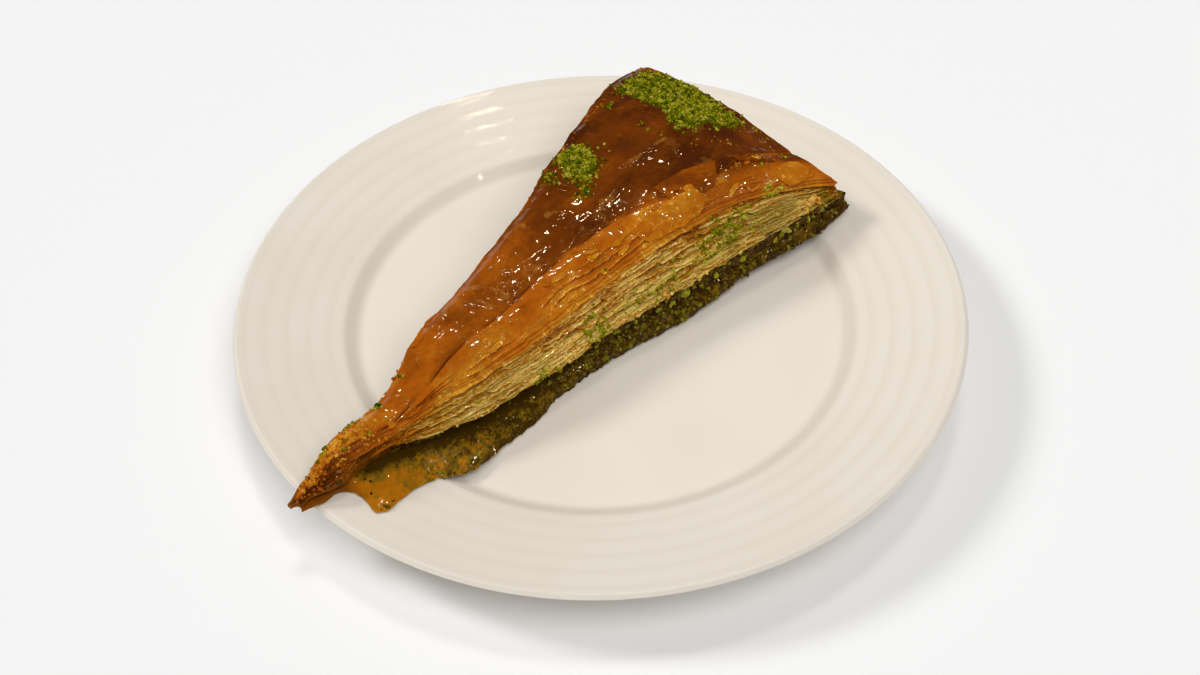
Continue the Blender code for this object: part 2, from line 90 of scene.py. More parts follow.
# Painted shade on the well's wall and behind each ring, as (radius, grey) stations.
WALL_PAINTED_SHADE = (
    (FLOOR_RADIUS - 0.0015, 0.0),
    (FLOOR_RADIUS + 0.0010, 0.36),
    (WELL_RADIUS - 0.0010, 0.36),
    (WELL_RADIUS + 0.0008, 0.0),
)
RING_PAINTED_SHADE = ((0.0, 0.0), (0.5, 0.24), (1.8, 0.0))
GLAZE_CLOUD_SCALE = 28.0
THIN_GLAZE = (0.40, 0.62, 0.0, 1.0)
GLAZE_RIPPLE = (130.0, 1.0)
GLAZE_BUMP = (0.12, 0.0004)


def rim_face_height(radius):
    """Height of the rim's upper face, without its rings, at a distance from the plate's centre."""
    slope = (PLATE_HEIGHT - WELL_HEIGHT) / (RIM_TOP_RADIUS - WELL_RADIUS)
    return WELL_HEIGHT + slope * (radius - WELL_RADIUS)


def plate_corners():
    """(radius, height, rounding) corners of the plate's section, from the floor over the rim to the foot."""
    corners = [
        (0.0, FLOOR_HEIGHT, 0.0),
        (FLOOR_RADIUS, FLOOR_HEIGHT, FLOOR_ROUNDING),
        (WELL_RADIUS, WELL_HEIGHT, WELL_ROUNDING),
    ]
    for ring in range(RING_COUNT):
        radius = FIRST_RING_RADIUS + ring * RING_SPACING
        corners.append((radius, rim_face_height(radius) + RING_RELIEF, RING_ROUNDING))
        corners.append((radius + RING_DROP, rim_face_height(radius + RING_DROP), RING_ROUNDING))
    corners += [
        (RIM_TOP_RADIUS, PLATE_HEIGHT, EDGE_ROUNDING),
        (PLATE_RADIUS, PLATE_HEIGHT - 0.5 * EDGE_THICKNESS, 0.0),
        (RIM_TOP_RADIUS, PLATE_HEIGHT - EDGE_THICKNESS, EDGE_ROUNDING),
        (WELL_RADIUS, WELL_HEIGHT - RIM_THICKNESS, UNDERSIDE_ROUNDING),
        (FOOT_OUTER_RADIUS + FOOT_SPLAY, UNDERSIDE_HEIGHT, 0.0),
        (FOOT_OUTER_RADIUS, 0.0, FOOT_ROUNDING),
        (FOOT_INNER_RADIUS, 0.0, FOOT_ROUNDING),
        (FOOT_INNER_RADIUS - FOOT_SPLAY, UNDERSIDE_HEIGHT, 0.0),
        (0.0, UNDERSIDE_HEIGHT, 0.0),
    ]
    return corners


def rounded_profile(corners):
    """Profile of (radius, height) points through (radius, height, rounding) corners."""
    profile = []
    for index, (radius, height, rounding) in enumerate(corners):
        corner = Vector((radius, height))
        if rounding == 0.0:
            profile.append(corner)
            continue
        before = Vector(corners[index - 1][:2])
        after = Vector(corners[index + 1][:2])
        start = corner + (before - corner).normalized() * rounding
        end = corner + (after - corner).normalized() * rounding
        for step in range(ROUNDING_STEPS + 1):
            share = step / ROUNDING_STEPS
            profile.append(start.lerp(corner, share).lerp(corner.lerp(end, share), share))
    return profile


def turned(profile, sides):
    """Turns a (radius, height) profile once round the plate's axis."""
    shape = bmesh.new()
    line = [shape.verts.new((radius, 0.0, height)) for radius, height in profile]
    edges = [shape.edges.new(pair) for pair in zip(line, line[1:])]
    bmesh.ops.spin(
        shape,
        geom=line + edges,
        axis=(0.0, 0.0, 1.0),
        cent=(0.0, 0.0, 0.0),
        angle=math.tau,
        steps=sides,
        use_merge=True,
    )
    bmesh.ops.remove_doubles(shape, verts=shape.verts, dist=MERGE_DISTANCE)
    return shape


def make_piece(name, shape, paint, sharp_angle):
    """Turns a bmesh into a piece with outward faces and its paint."""
    bmesh.ops.recalc_face_normals(shape, faces=shape.faces)
    mesh = bpy.data.meshes.new(name)
    shape.to_mesh(mesh)
    shape.free()
    mesh.materials.append(paint)
    mesh.shade_smooth()
    mesh.set_sharp_from_angle(angle=sharp_angle)
    piece = bpy.data.objects.new(name, mesh)
    bpy.context.scene.collection.objects.link(piece)
    return piece


def new_paint(name, finish):
    """A material with its node tree and shader, and the shader's even settings."""
    paint = bpy.data.materials.new(name)
    paint.use_nodes = True
    shader = paint.node_tree.nodes["Principled BSDF"]
    for setting, value in finish.items():
        shader.inputs[setting].default_value = value
    return paint, paint.node_tree, shader


def wire(tree, kind, inputs, **settings):
    """Adds a node, and feeds its inputs with values or with other nodes' outputs."""
    made = tree.nodes.new("ShaderNode" + kind)
    for setting, value in settings.items():
        setattr(made, setting, value)
    for socket, value in inputs.items():
        if isinstance(value, bpy.types.NodeSocket):
            tree.links.new(value, made.inputs[socket])
        else:
            made.inputs[socket].default_value = value
    return made.outputs


def speckle(tree, places, scale, detail=3.0):
    """Even noise from 0 to 1 over the given places, with so many bumps to the metre."""
    return wire(tree, "TexNoise", {"Vector": places, "Scale": scale, "Detail": detail})[0]


def spread_of(tree, value, low, high, to_low, to_high):
    """Carries a value from one range to another, and stops at its ends."""
    inputs = {"Value": value, "From Min": low, "From Max": high, "To Min": to_low, "To Max": to_high}
    return wire(tree, "MapRange", inputs)[0]


def blend_of(tree, share, first, second):
    """Mixes two colours, each (red, green, blue) or a node's output, by a share."""
    first, second = ((*colour, 1.0) if isinstance(colour, tuple) else colour for colour in (first, second))
    return wire(tree, "Mix", {0: share, 6: first, 7: second}, data_type="RGBA")[2]


def ramp_of(tree, value, stops):
    """Colour of a value, between (position, colour) stops."""
    ramp = tree.nodes.new("ShaderNodeValToRGB")
    tree.links.new(value, ramp.inputs[0])
    for position, colour in stops[1:-1]:
        ramp.color_ramp.elements.new(position)
    for element, (position, colour) in zip(ramp.color_ramp.elements, stops):
        element.position = position
        element.color = (*colour, 1.0)
    return ramp.outputs[0]


def bump_of(tree, height, strength, distance, inward=False):
    """Fine relief that only the shading shows."""
    inputs = {"Height": height, "Strength": strength, "Distance": distance}
    return wire(tree, "Bump", inputs, invert=inward)[0]


def feed(tree, shader, inputs):
    """Links nodes' outputs to the shader's inputs."""
    for socket, output in inputs.items():
        tree.links.new(output, shader.inputs[socket])


def glaze_painted_shade():
    """(share of the radius, grey) stops of painted shade, on the well's wall and behind each ring."""
    shades = [(0.0, 0.0), *WALL_PAINTED_SHADE]
    for ring in range(RING_COUNT):
        radius = FIRST_RING_RADIUS + ring * RING_SPACING
        shades += [(radius + drops * RING_DROP, shade) for drops, shade in RING_PAINTED_SHADE]
    shades.append((PLATE_RADIUS, 0.0))
    return [(radius / PLATE_RADIUS, (shade, shade, shade)) for radius, shade in shades]


def glaze_paint():
    """Warm white glaze, a little thinner and whiter in places, with painted shade in the hollows and a faint
    ripple.
    """
    finish = {"Roughness": 0.35, "Specular IOR Level": 0.1, "Coat Weight": 0.03, "Coat Roughness": 0.02}
    paint, tree, shader = new_paint("warm_white_glaze", finish)
    places = wire(tree, "TexCoord", {})["Object"]
    thin = spread_of(tree, speckle(tree, places, GLAZE_CLOUD_SCALE), *THIN_GLAZE)
    colour = blend_of(tree, thin, GLAZE_COLOUR, GLAZE_COLOUR_THIN)
    across = (1.0 / PLATE_RADIUS, 1.0 / PLATE_RADIUS, 0.0)
    level = wire(tree, "VectorMath", {0: places, 1: across}, operation="MULTIPLY")[0]
    radius = wire(tree, "VectorMath", {0: level}, operation="LENGTH")["Value"]
    # Painted shade: darker on the well's wall and behind each ring.
    colour = blend_of(tree, ramp_of(tree, radius, glaze_painted_shade()), colour, GLAZE_PAINTED_SHADE_COLOUR)
    ripple = bump_of(tree, speckle(tree, places, *GLAZE_RIPPLE), *GLAZE_BUMP)
    feed(tree, shader, {"Base Color": colour, "Normal": ripple})
    return paint


plate = make_piece(
    "glazed_plate", turned(rounded_profile(plate_corners()), PLATE_SIDES), glaze_paint(), PLATE_SHARP_ANGLE
)
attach(plate, "root")
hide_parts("plate")

# Soaked bottom sheets
# The bottom sheets of the slice, heavy with syrup. They have spread out past the near cut in a thin ragged
# edge, with one round tongue near the tip. They lie on the rim at both ends and on the floor between them.
TIP_X = -0.0959
TIP_Y = -0.0920
SLICE_BEARING = math.radians(48.0)
WEDGE_ANGLE = math.radians(24.0)
SLICE_LENGTH = 0.2340
SLICE_START = 0.0020
TIP_HALF_WIDTH = 0.0006
PLATE_GAP = 0.00055
REST_RADIUS = 0.0630
TIP_HEIGHT = 0.0227
TIP_DROOP = 0.0022
BRIDGE_START = 0.1500
BRIDGE_RISE = 0.0068
BRIDGE_SOFTNESS = 0.0018
BOTTOM_TOP = ((0.001, 0.0010), (0.020, 0.0034), (0.060, 0.0050), (0.200, 0.0050), (0.234, 0.0036))
BOTTOM_REACH = (
    (0.001, 0.0002), (0.007, 0.0024), (0.019, 0.0032), (0.021, 0.0062), (0.024, 0.0118), (0.028, 0.0136),
    (0.033, 0.0120), (0.043, 0.0096), (0.058, 0.0129), (0.068, 0.0106), (0.083, 0.0074), (0.101, 0.0031),
    (0.128, 0.0010), (0.158, 0.0026), (0.188, 0.0002), (0.212, 0.0019), (0.234, 0.0),
)
BOTTOM_FAR_REACH = 0.0022
EDGE_THINNING = 0.0060
EDGE_THICKNESS_SHARE = 0.42
BOTTOM_TOP_DRAW = 0.25
BOTTOM_CELLS = (400, 56, 5)
BOTTOM_CROWDING = 1.5
BOTTOM_RAGGED = ((0.0060, 0.0006), (0.0023, 0.0005), (0.0013, 0.0003))
BOTTOM_GRAIN = ((0.0030, 0.00035), (0.0016, 0.00030))
RAGGED_SLANT = 0.004
GRAIN_SIDE_POWER = 8
GRAIN_START = 0.020
LAYER_OFFSET = 7.3
FOOD_SHARP_ANGLE = math.radians(60.0)
SYRUP_AMBER = (0.460, 0.155, 0.003)
SOAKED_OLIVE = (0.230, 0.120, 0.005)
# Dark brown of the soaked sheets, also the colour of the painted shade under the stack.
SOAKED_BROWN_AND_SHADE = (0.056, 0.026, 0.002)
TIP_BROWN = (0.230, 0.065, 0.003)
THICKER_PLACES = (0.024, 0.078, 0.0, 0.85)
# Painted shadow along the sheets' foot, and painted shade where the stack overhangs them.
PAINTED_FOOT_SHADOW = (0.0006, 0.0022, 0.3, 0.0)
SHADE_UNDER_STACK_SHARES = (0.40, 0.85, 0.0, 1.0)
SOAKED_CLOUDS = (230.0, 2.0)
SOAKED_CLOUD_DEPTH = (0.36, 0.64, -0.20, 0.20)
SOAKED_GRAIN_SCALE = 1000.0
SOAKED_GRAIN_STRENGTH = (0.0, 0.4, 0.14, 0.50)
OLIVE_AGEING_AND_SHADE = (0.10, 0.42, 0.0, 1.0)
BROWN_AGEING_AND_SHADE = (0.45, 0.95, 0.0, 1.0)
BROWN_TIP = (0.017, 0.022, 1.0, 0.0)
SOAKED_BUMP_SCALE = 1400.0
SOAKED_BUMP = (0.9, 0.0004)
SOAKED_ROUGHNESS = (0.35, 0.65, 0.16, 0.42)


def smoothstep(low, high, values):
    """0 below low, 1 above high and a smooth rise between them."""
    share = np.clip((values - low) / (high - low), 0.0, 1.0)
    return share * share * (3.0 - 2.0 * share)


def at_place(stations, places):
    """Smooth values at places along (place, value) stations."""
    marks, values = (np.array(row) for row in zip(*stations))
    slopes = np.gradient(values, marks)
    places = np.clip(places, marks[0], marks[-1])
    left = np.clip(np.searchsorted(marks, places, side="right") - 1, 0, len(marks) - 2)
    span = marks[left + 1] - marks[left]
    share = (places - marks[left]) / span
    start = (1 + 2 * share) * (1 - share) ** 2 * values[left] + share * (1 - share) ** 2 * span * slopes[left]
    end = share**2 * (3 - 2 * share) * values[left + 1] + share**2 * (share - 1) * span * slopes[left + 1]
    return start + end


def bumps(size, depth, *axes):
    """Smooth bumps of a size and depth at places given by their one to three axes."""
    rows = np.zeros((len(axes[0]), 3))
    for index, axis in enumerate(axes):
        rows[:, index] = axis / size
    return depth * np.array([noise.noise(row) for row in rows.tolist()])


def ragged(layers, *axes):
    """Bumps of several sizes and depths added up."""
    return sum(bumps(size, depth, *(axis + LAYER_OFFSET * size for axis in axes)) for size, depth in layers)


def near_cut(distance):
    """Half the slice's width, from its middle line to its cut, at a distance from the tip."""
    return TIP_HALF_WIDTH + distance * math.sin(0.5 * WEDGE_ANGLE)


def spread(distance, across_share, near_inset, far_inset):
    """Distance across the slice for a share of the way from its near edge to its far edge."""
    half = near_cut(distance)
    return (near_inset - half) * (1.0 - across_share) + (half - far_inset) * across_share


def set_out(distance, across, height):
    """Points in the frame for places in the slice."""
    along = np.sqrt(np.maximum(distance**2 - across**2, 0.0))
    x = TIP_X + along * math.cos(SLICE_BEARING) - across * math.sin(SLICE_BEARING)
    y = TIP_Y + along * math.sin(SLICE_BEARING) + across * math.cos(SLICE_BEARING)
    radius = np.hypot(x, y)
    floor_rest = FLOOR_HEIGHT + PLATE_GAP
    well_rest = rim_face_height(WELL_RADIUS) + PLATE_GAP
    dip_share = np.maximum(radius - REST_RADIUS, 0.0) / (WELL_RADIUS - REST_RADIUS)
    on_rim = np.minimum(rim_face_height(radius) + PLATE_GAP, TIP_HEIGHT)
    rest = np.where(radius < WELL_RADIUS, floor_rest + (well_rest - floor_rest) * dip_share, on_rim)
    rest -= TIP_DROOP * smoothstep(RIM_TOP_RADIUS, math.hypot(TIP_X, TIP_Y), radius)
    bridge = floor_rest + BRIDGE_RISE * (distance - BRIDGE_START) / (SLICE_LENGTH - BRIDGE_START)
    base = 0.5 * (rest + bridge + np.hypot(rest - bridge, BRIDGE_SOFTNESS))
    return np.column_stack((x, y, base + height))


def block_of_cells(lengthwise, crosswise, upward):
    """Unit block from 0 to 1 each way whose sides are divided into even cells."""
    block = bmesh.new()
    bmesh.ops.create_grid(block, x_segments=lengthwise, y_segments=crosswise, size=0.5)
    bmesh.ops.translate(block, verts=block.verts, vec=(0.5, 0.5, 0.0))
    sheet = block.faces[:]
    for level in range(upward):
        raised = bmesh.ops.extrude_face_region(block, geom=sheet)["geom"]
        if level > 0:
            bmesh.ops.delete(block, geom=sheet, context="FACES")
        sheet = [item for item in raised if isinstance(item, bmesh.types.BMFace)]
        corners = [item for item in raised if isinstance(item, bmesh.types.BMVert)]
        bmesh.ops.translate(block, verts=corners, vec=(0.0, 0.0, 1.0 / upward))
    return block


def unit_places(shape):
    """The three coordinates of a shape's corners, as arrays."""
    return np.array([corner.co[:] for corner in shape.verts]).T


def move_corners(shape, points):
    """Puts a shape's corners at points."""
    for corner, point in zip(shape.verts, points.tolist()):
        corner.co = point


def keep_values(piece, **kept):
    """Keeps values for each corner, which the paint reads by name."""
    for name, values in kept.items():
        rows = np.asarray(values, np.float32)
        is_vector = rows.ndim == 2
        layer = piece.data.attributes.new(name, "FLOAT_VECTOR" if is_vector else "FLOAT", "POINT")
        layer.data.foreach_set("vector" if is_vector else "value", rows.ravel())


def kept_value(tree, name, output="Fac"):
    """A kept value in a paint."""
    return wire(tree, "Attribute", {}, attribute_name=name)[output]


def math_of(tree, operation, *values, clamped=False):
    """Works with one to three values, each a number or a node's output."""
    return wire(tree, "Math", dict(enumerate(values)), operation=operation, use_clamp=clamped)[0]


def grains_of(tree, places, scale):
    """Grains, so many to the metre: each one's own number from 0 to 1, and the distance from its middle."""
    grains = wire(tree, "TexVoronoi", {"Vector": places, "Scale": scale, "Randomness": 1.0})
    return wire(tree, "SeparateColor", {0: grains["Color"]})[0], grains["Distance"]


def bottom_points(along, over, up):
    """Points of the bottom sheets, their places and how far inside the near edge they lie."""
    distance = SLICE_START + (SLICE_LENGTH - SLICE_START) * along
    across_share = over**BOTTOM_CROWDING
    fullness = smoothstep(0.0, GRAIN_START, distance)
    reach = at_place(BOTTOM_REACH, distance) + ragged(BOTTOM_RAGGED, distance, RAGGED_SLANT * up) * fullness
    across = spread(distance, across_share, -reach * (1.0 - BOTTOM_TOP_DRAW * up), -BOTTOM_FAR_REACH)
    inside = smoothstep(0.0, EDGE_THINNING + reach, across + near_cut(distance) + reach)
    thickness_share = EDGE_THICKNESS_SHARE + (1.0 - EDGE_THICKNESS_SHARE) * inside
    height = at_place(BOTTOM_TOP, distance) * thickness_share * up
    grain = ragged(BOTTOM_GRAIN, distance, across, height) * fullness
    side = np.abs(1.0 - 2.0 * across_share) ** GRAIN_SIDE_POWER
    across = across + grain * side * np.sign(across_share - 0.5)
    places = np.column_stack((distance, across, height))
    return set_out(distance, across, height + grain * up), places, inside


def soaked_paint():
    """Syrupy sheets: clear amber where they are thin, olive to dark brown and grainy further on, with painted
    shade at their foot and under the stack.
    """
    finish = {
        "Specular IOR Level": 0.0,
        "Coat Weight": 0.3,
        "Coat Roughness": 0.05,
        "Subsurface Weight": 0.2,
        "Subsurface Scale": 0.002,
        "Subsurface Radius": (1.0, 0.45, 0.12),
    }
    paint, tree, shader = new_paint("soaked_sheets", finish)
    places = kept_value(tree, "place", "Vector")
    distance, _, height = wire(tree, "SeparateXYZ", {0: places})[:3]
    thick = spread_of(tree, distance, *THICKER_PLACES)
    # Painted shadow along the foot and painted shade under the stack's overhang, added to the soaking.
    foot = spread_of(tree, height, *PAINTED_FOOT_SHADOW)
    shade_under_stack = spread_of(tree, kept_value(tree, "inside"), *SHADE_UNDER_STACK_SHARES)
    cloudy = spread_of(tree, speckle(tree, places, *SOAKED_CLOUDS), *SOAKED_CLOUD_DEPTH)
    tint, _ = grains_of(tree, places, SOAKED_GRAIN_SCALE)
    strength = spread_of(tree, thick, *SOAKED_GRAIN_STRENGTH)
    grainy = math_of(tree, "MULTIPLY_ADD", math_of(tree, "SUBTRACT", tint, 0.5), strength, cloudy)
    ageing_and_shade = math_of(tree, "MULTIPLY_ADD", thick, foot, math_of(tree, "ADD", thick, grainy))
    ageing_and_shade = math_of(tree, "ADD", ageing_and_shade, shade_under_stack, clamped=True)
    colour = blend_of(tree, spread_of(tree, ageing_and_shade, *OLIVE_AGEING_AND_SHADE), SYRUP_AMBER, SOAKED_OLIVE)
    colour = blend_of(tree, spread_of(tree, ageing_and_shade, *BROWN_AGEING_AND_SHADE), colour, SOAKED_BROWN_AND_SHADE)
    colour = blend_of(tree, spread_of(tree, distance, *BROWN_TIP), colour, TIP_BROWN)
    grain = speckle(tree, places, SOAKED_BUMP_SCALE)
    roughness = spread_of(tree, grain, *SOAKED_ROUGHNESS)
    relief = bump_of(tree, grain, *SOAKED_BUMP)
    feed(tree, shader, {"Base Color": colour, "Roughness": roughness, "Normal": relief})
    return paint


shape = block_of_cells(*BOTTOM_CELLS)
points, places, inside = bottom_points(*unit_places(shape))
move_corners(shape, points)
bottom = make_piece("soaked_bottom_sheets", shape, soaked_paint(), FOOD_SHARP_ANGLE)
keep_values(bottom, place=places, inside=inside)
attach(bottom, "root")
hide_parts("bottom_pastry")

# Pistachio filling
# A layer of chopped pistachio soaked in syrup, pressed between the bottom and the upper sheets. It is dark
# and crumbly where it is cut.
LAYER_GAP = 0.0003
FILLING_TOP = (
    (0.001, 0.0019), (0.020, 0.0056), (0.060, 0.0098), (0.120, 0.0110), (0.200, 0.0104), (0.234, 0.0068),
)
FILLING_INSET = (
    (0.001, 0.0001), (0.016, -0.0008), (0.028, 0.0026), (0.058, 0.0022), (0.110, 0.0026), (0.234, 0.0012),
)
FILLING_FAR_REACH = 0.0012
FILLING_END_INSET = 0.0012
LEAN_START = 0.1900
FULL_DISTANCE = 0.0300
FILLING_COLUMNS = 1000
FILLING_LEVELS = 12
FILLING_CRUMBLE = ((0.0045, 0.0009), (0.0019, 0.0006), (0.0009, 0.0003))
FACING_BLUR = 7
SIDE_SHARES = (0.0, 0.52, 0.73, 0.98, 1.0)
SIDE_FACINGS = ((-1.0, 0.0), (0.0, 1.0), (1.0, 0.0), (0.0, -1.0))
NUT_DARK = (0.028, 0.011, 0.001)
NUT_BROWN = (0.100, 0.036, 0.003)
NUT_OLIVE = (0.140, 0.100, 0.008)
NUT_GRAIN_SCALE = 900.0
BROWN_NUTS = (0.2, 0.6, 0.0, 1.0)
OLIVE_NUTS = (0.75, 0.9, 0.0, 1.0)
BROWN_FILLING_TIP = (0.022, 0.040, 1.0, 0.0)
WET_SPOT_SCALE = 600.0
WET_SPOT_ROUGHNESS = (0.4, 0.6, 0.25, 0.6)
NUT_GRAIN_BUMP = (0.7, 0.0004)


def ring_wall(columns, levels):
    """Wall round a unit circle, in even columns and levels, closed above and below."""
    profile = [(1.0, level / levels) for level in range(levels + 1)]
    wall = turned(profile, columns)
    bmesh.ops.holes_fill(wall, edges=wall.edges[:], sides=0)
    return wall


def round_the_slice(shape, columns, levels):
    """Where a ring wall's corners stand round the slice, and which way is outward there.

    The columns go along the near cut, round the tray edge, back along the far cut and over the tip.
    """
    x, y, up = unit_places(shape)
    column = np.round(np.arctan2(y, x) % math.tau / math.tau * columns).astype(int) % columns
    cut_length = SLICE_LENGTH - SLICE_START
    end_width = 2.0 * near_cut(SLICE_LENGTH)
    tip_width = 2.0 * near_cut(SLICE_START)
    marks = np.cumsum([0.0, cut_length, end_width, cut_length, tip_width])
    turn = np.arange(columns) / columns
    place = np.interp(turn, SIDE_SHARES, marks)
    ends = (SLICE_START, SLICE_LENGTH, SLICE_LENGTH, SLICE_START, SLICE_START)
    distance = np.interp(turn, SIDE_SHARES, ends)
    across_share = np.interp(turn, SIDE_SHARES, (0.0, 0.0, 1.0, 1.0, 0.0))
    side = np.clip(np.searchsorted(SIDE_SHARES, turn, side="right") - 1, 0, len(SIDE_FACINGS) - 1)
    facing = np.array(SIDE_FACINGS)[side]
    blurred = sum(np.roll(facing, shift, axis=0) for shift in range(-FACING_BLUR, FACING_BLUR + 1))
    facing = blurred / np.linalg.norm(blurred, axis=1, keepdims=True)
    level = np.round(up * levels).astype(int)
    return distance[column], across_share[column], level, facing[column], place[column]


def full_at(distance):
    """0 at the slice's tip, 1 where the slice has its full thickness."""
    return smoothstep(0.0, FULL_DISTANCE, distance)


def filling_points(shape):
    """Points of the filling, crumbly all the way round, and their places."""
    distance, across_share, level, facing, _ = round_the_slice(shape, FILLING_COLUMNS, FILLING_LEVELS)
    up = level / FILLING_LEVELS
    leaned = distance - FILLING_END_INSET * smoothstep(LEAN_START, SLICE_LENGTH, distance)
    low = at_place(BOTTOM_TOP, leaned)
    height = low + (at_place(FILLING_TOP, leaned) + LAYER_GAP - low) * up
    across = spread(leaned, across_share, at_place(FILLING_INSET, leaned), -FILLING_FAR_REACH)
    crumble = ragged(FILLING_CRUMBLE, leaned, across, height) * full_at(distance)
    leaned = leaned + crumble * facing[:, 1]
    across = across + crumble * facing[:, 0]
    return set_out(leaned, across, height), np.column_stack((leaned, across, height))


def filling_paint():
    """Syrup-soaked chopped nuts: dark brown with olive and brown grains, wet in spots."""
    finish = {"Specular IOR Level": 0.0, "Coat Weight": 0.2, "Coat Roughness": 0.05}
    paint, tree, shader = new_paint("soaked_chopped_nuts", finish)
    places = kept_value(tree, "place", "Vector")
    tint, from_middle = grains_of(tree, places, NUT_GRAIN_SCALE)
    colour = blend_of(tree, spread_of(tree, tint, *BROWN_NUTS), NUT_DARK, NUT_BROWN)
    colour = blend_of(tree, spread_of(tree, tint, *OLIVE_NUTS), colour, NUT_OLIVE)
    distance = wire(tree, "SeparateXYZ", {0: places})[0]
    colour = blend_of(tree, spread_of(tree, distance, *BROWN_FILLING_TIP), colour, TIP_BROWN)
    roughness = spread_of(tree, speckle(tree, places, WET_SPOT_SCALE), *WET_SPOT_ROUGHNESS)
    relief = bump_of(tree, from_middle, *NUT_GRAIN_BUMP, inward=True)
    feed(tree, shader, {"Base Color": colour, "Roughness": roughness, "Normal": relief})
    return paint


shape = ring_wall(FILLING_COLUMNS, FILLING_LEVELS)
points, places = filling_points(shape)
move_corners(shape, points)
filling = make_piece("chopped_pistachio_filling", shape, filling_paint(), FOOD_SHARP_ANGLE)
keep_values(filling, place=places)
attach(filling, "root")
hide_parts("pistachio_filling")

# Stack of pale sheets
# About two dozen paper-thin sheets of dough, brushed with butter and baked. A knife cut them in steps, so
# each sheet's ragged edge shows on the near cut, paler below and more golden near the crust.
STACK_INSET = (
    (0.001, 0.0001), (0.014, -0.0014), (0.028, 0.0040), (0.043, 0.0018), (0.058, -0.0010), (0.100, -0.0012),
    (0.125, 0.0008), (0.165, 0.0012), (0.197, 0.0016), (0.234, 0.0024),
)
TERRACE_INSET = (
    (0.001, 0.0004), (0.020, 0.0026), (0.046, 0.0070), (0.072, 0.0058), (0.090, 0.0052), (0.112, 0.0087),
    (0.172, 0.0134), (0.212, 0.0096), (0.234, 0.0056),
)
TERRACE_TOP = (
    (0.001, 0.0038), (0.009, 0.0064), (0.022, 0.0118), (0.045, 0.0140), (0.062, 0.0185), (0.085, 0.0230),
    (0.115, 0.0252), (0.190, 0.0250), (0.212, 0.0216), (0.234, 0.0158),
)
SLICE_TOP = (
    (0.001, 0.0040), (0.009, 0.0068), (0.013, 0.0102), (0.018, 0.0132), (0.045, 0.0146), (0.055, 0.0180),
    (0.066, 0.0255), (0.093, 0.0292), (0.120, 0.0314), (0.185, 0.0325), (0.208, 0.0308), (0.222, 0.0278),
    (0.234, 0.0232),
)
FAR_INSET = ((0.001, 0.0), (0.060, 0.0014), (0.130, 0.0032), (0.165, 0.0004), (0.222, 0.0), (0.234, 0.0020))
CREASE_INSET = (
    (0.001, 0.0008), (0.027, 0.0044), (0.050, 0.0098), (0.088, 0.0165), (0.127, 0.0244), (0.151, 0.0262),
    (0.184, 0.0196), (0.206, 0.0235), (0.234, 0.0230),
)
NEAR_STEPS = (
    (0.00, 0.00), (-0.04, 0.20), (0.16, 0.34), (0.20, 0.52), (0.44, 0.58), (0.50, 0.74), (0.72, 0.79),
    (0.77, 0.90), (0.96, 0.93), (1.00, 1.00),
)
TOP_FAR_REACH = 0.0011
CRUST_END_INSET = ((0.0, 0.0060), (0.2, 0.0072), (0.4, 0.0096), (0.7, 0.0068), (1.0, 0.0046))
STACK_END_INSET = 0.0040
NEAR_END_FALL = 0.0050
CREASE_STEP = 0.0009
CREASE_WIDTH = 0.0012
CREASE_WIDTH_SHARE = 0.2
CLIMB_START = -0.2
DOME_RISE = 0.0011
FAR_TOP_DROP = 0.0016
FAR_ROUNDING = 0.0045
WRINKLE_DEPTH = 0.0007
WRINKLE_SIZE = 0.0140
SLOPE_SHARE = 0.36
CREASE_SHARE = 0.40
CRUMB_HEAPS = (
    (0.2225, 0.0285, 0.0100, 0.0135), (0.2130, 0.0090, 0.0100, 0.0110), (0.1620, 0.0235, 0.0075, 0.0085),
    (0.1510, 0.0200, 0.0030, 0.0110),
)
HEAP_FADE = (0.7, 1.15)
HEAP_RISE = 0.0010
SHEET_COUNT = 22
SHEET_GAP_DEPTH = 0.0011
SHEET_LEVELS = ((0.0, SHEET_GAP_DEPTH), (0.24, 0.0), (0.48, -0.00010), (0.70, 0.0))
GAP_SHARE_AT_TIP = 0.3
STACK_LEVELS = SHEET_COUNT * len(SHEET_LEVELS) + 1
STACK_COLUMNS = 1080
LID_INSET = 0.0030
LID_DEPTH = 0.0060
STACK_TOP_SINK = 0.0007
TOP_TUCK = 0.0022
TOP_TUCK_HEIGHTS = (0.86, 0.95)
TOP_TUCK_PLACES = (0.05, 0.10)
SHEET_RAGGED = ((0.0150, 0.0010), (0.0045, 0.0007), (0.0012, 0.0002))
SHEET_WAVES = ((0.0150, 0.00045), (0.0045, 0.00018))
WAVES_APART = 0.0014
EDGES_APART = 0.0113
SHEET_UNEVENNESS = (0.45, 1.7)
SHEET_SEED = 11
BREAK_SIZE = 0.010
BREAK_DEPTH = 0.0016
BREAK_SPREAD = (0.12, 0.30)
BREAKS_APART = 0.0271
BREAK_BROWNING = 0.15
LOW_BROWNING = 0.08
HIGH_BROWNING = 0.32
THIN_BROWNING = 0.4
FAR_BROWNING = 0.05
TIP_BROWNING = 0.50
TIP_BROWNING_PLACES = (0.070, 0.030)
OUTER_BROWNING = 0.35
OUTER_BROWNING_PLACES = (0.220, 0.230)
OUTER_BROWNING_SHARE = 0.3
SHEET_TINT = (0.018, 0.45)
TINTS_APART = 0.0193
SOAKED_PLACES = (0.130, 0.185)
SOAKED_SIZE = 0.012
SOAKED_HEIGHTS = (0.95, 0.45)
SOAKED_SPREAD = (-0.35, 0.20)
OLIVE_SHEETS = 0.3
OLIVE_PLACES = (0.11, 0.15)
OLIVE_HEIGHTS = (0.75, 0.35)
SOAKED_FOOT = 0.5
SOAKED_FOOT_HEIGHTS = (0.22, 0.0)
SOAKED_NEAR_TIP = 0.35
SOAKED_NEAR_TIP_PLACES = ((0.030, 0.060), (0.110, 0.070))
DARK_GAP_AT_TIP = 0.2
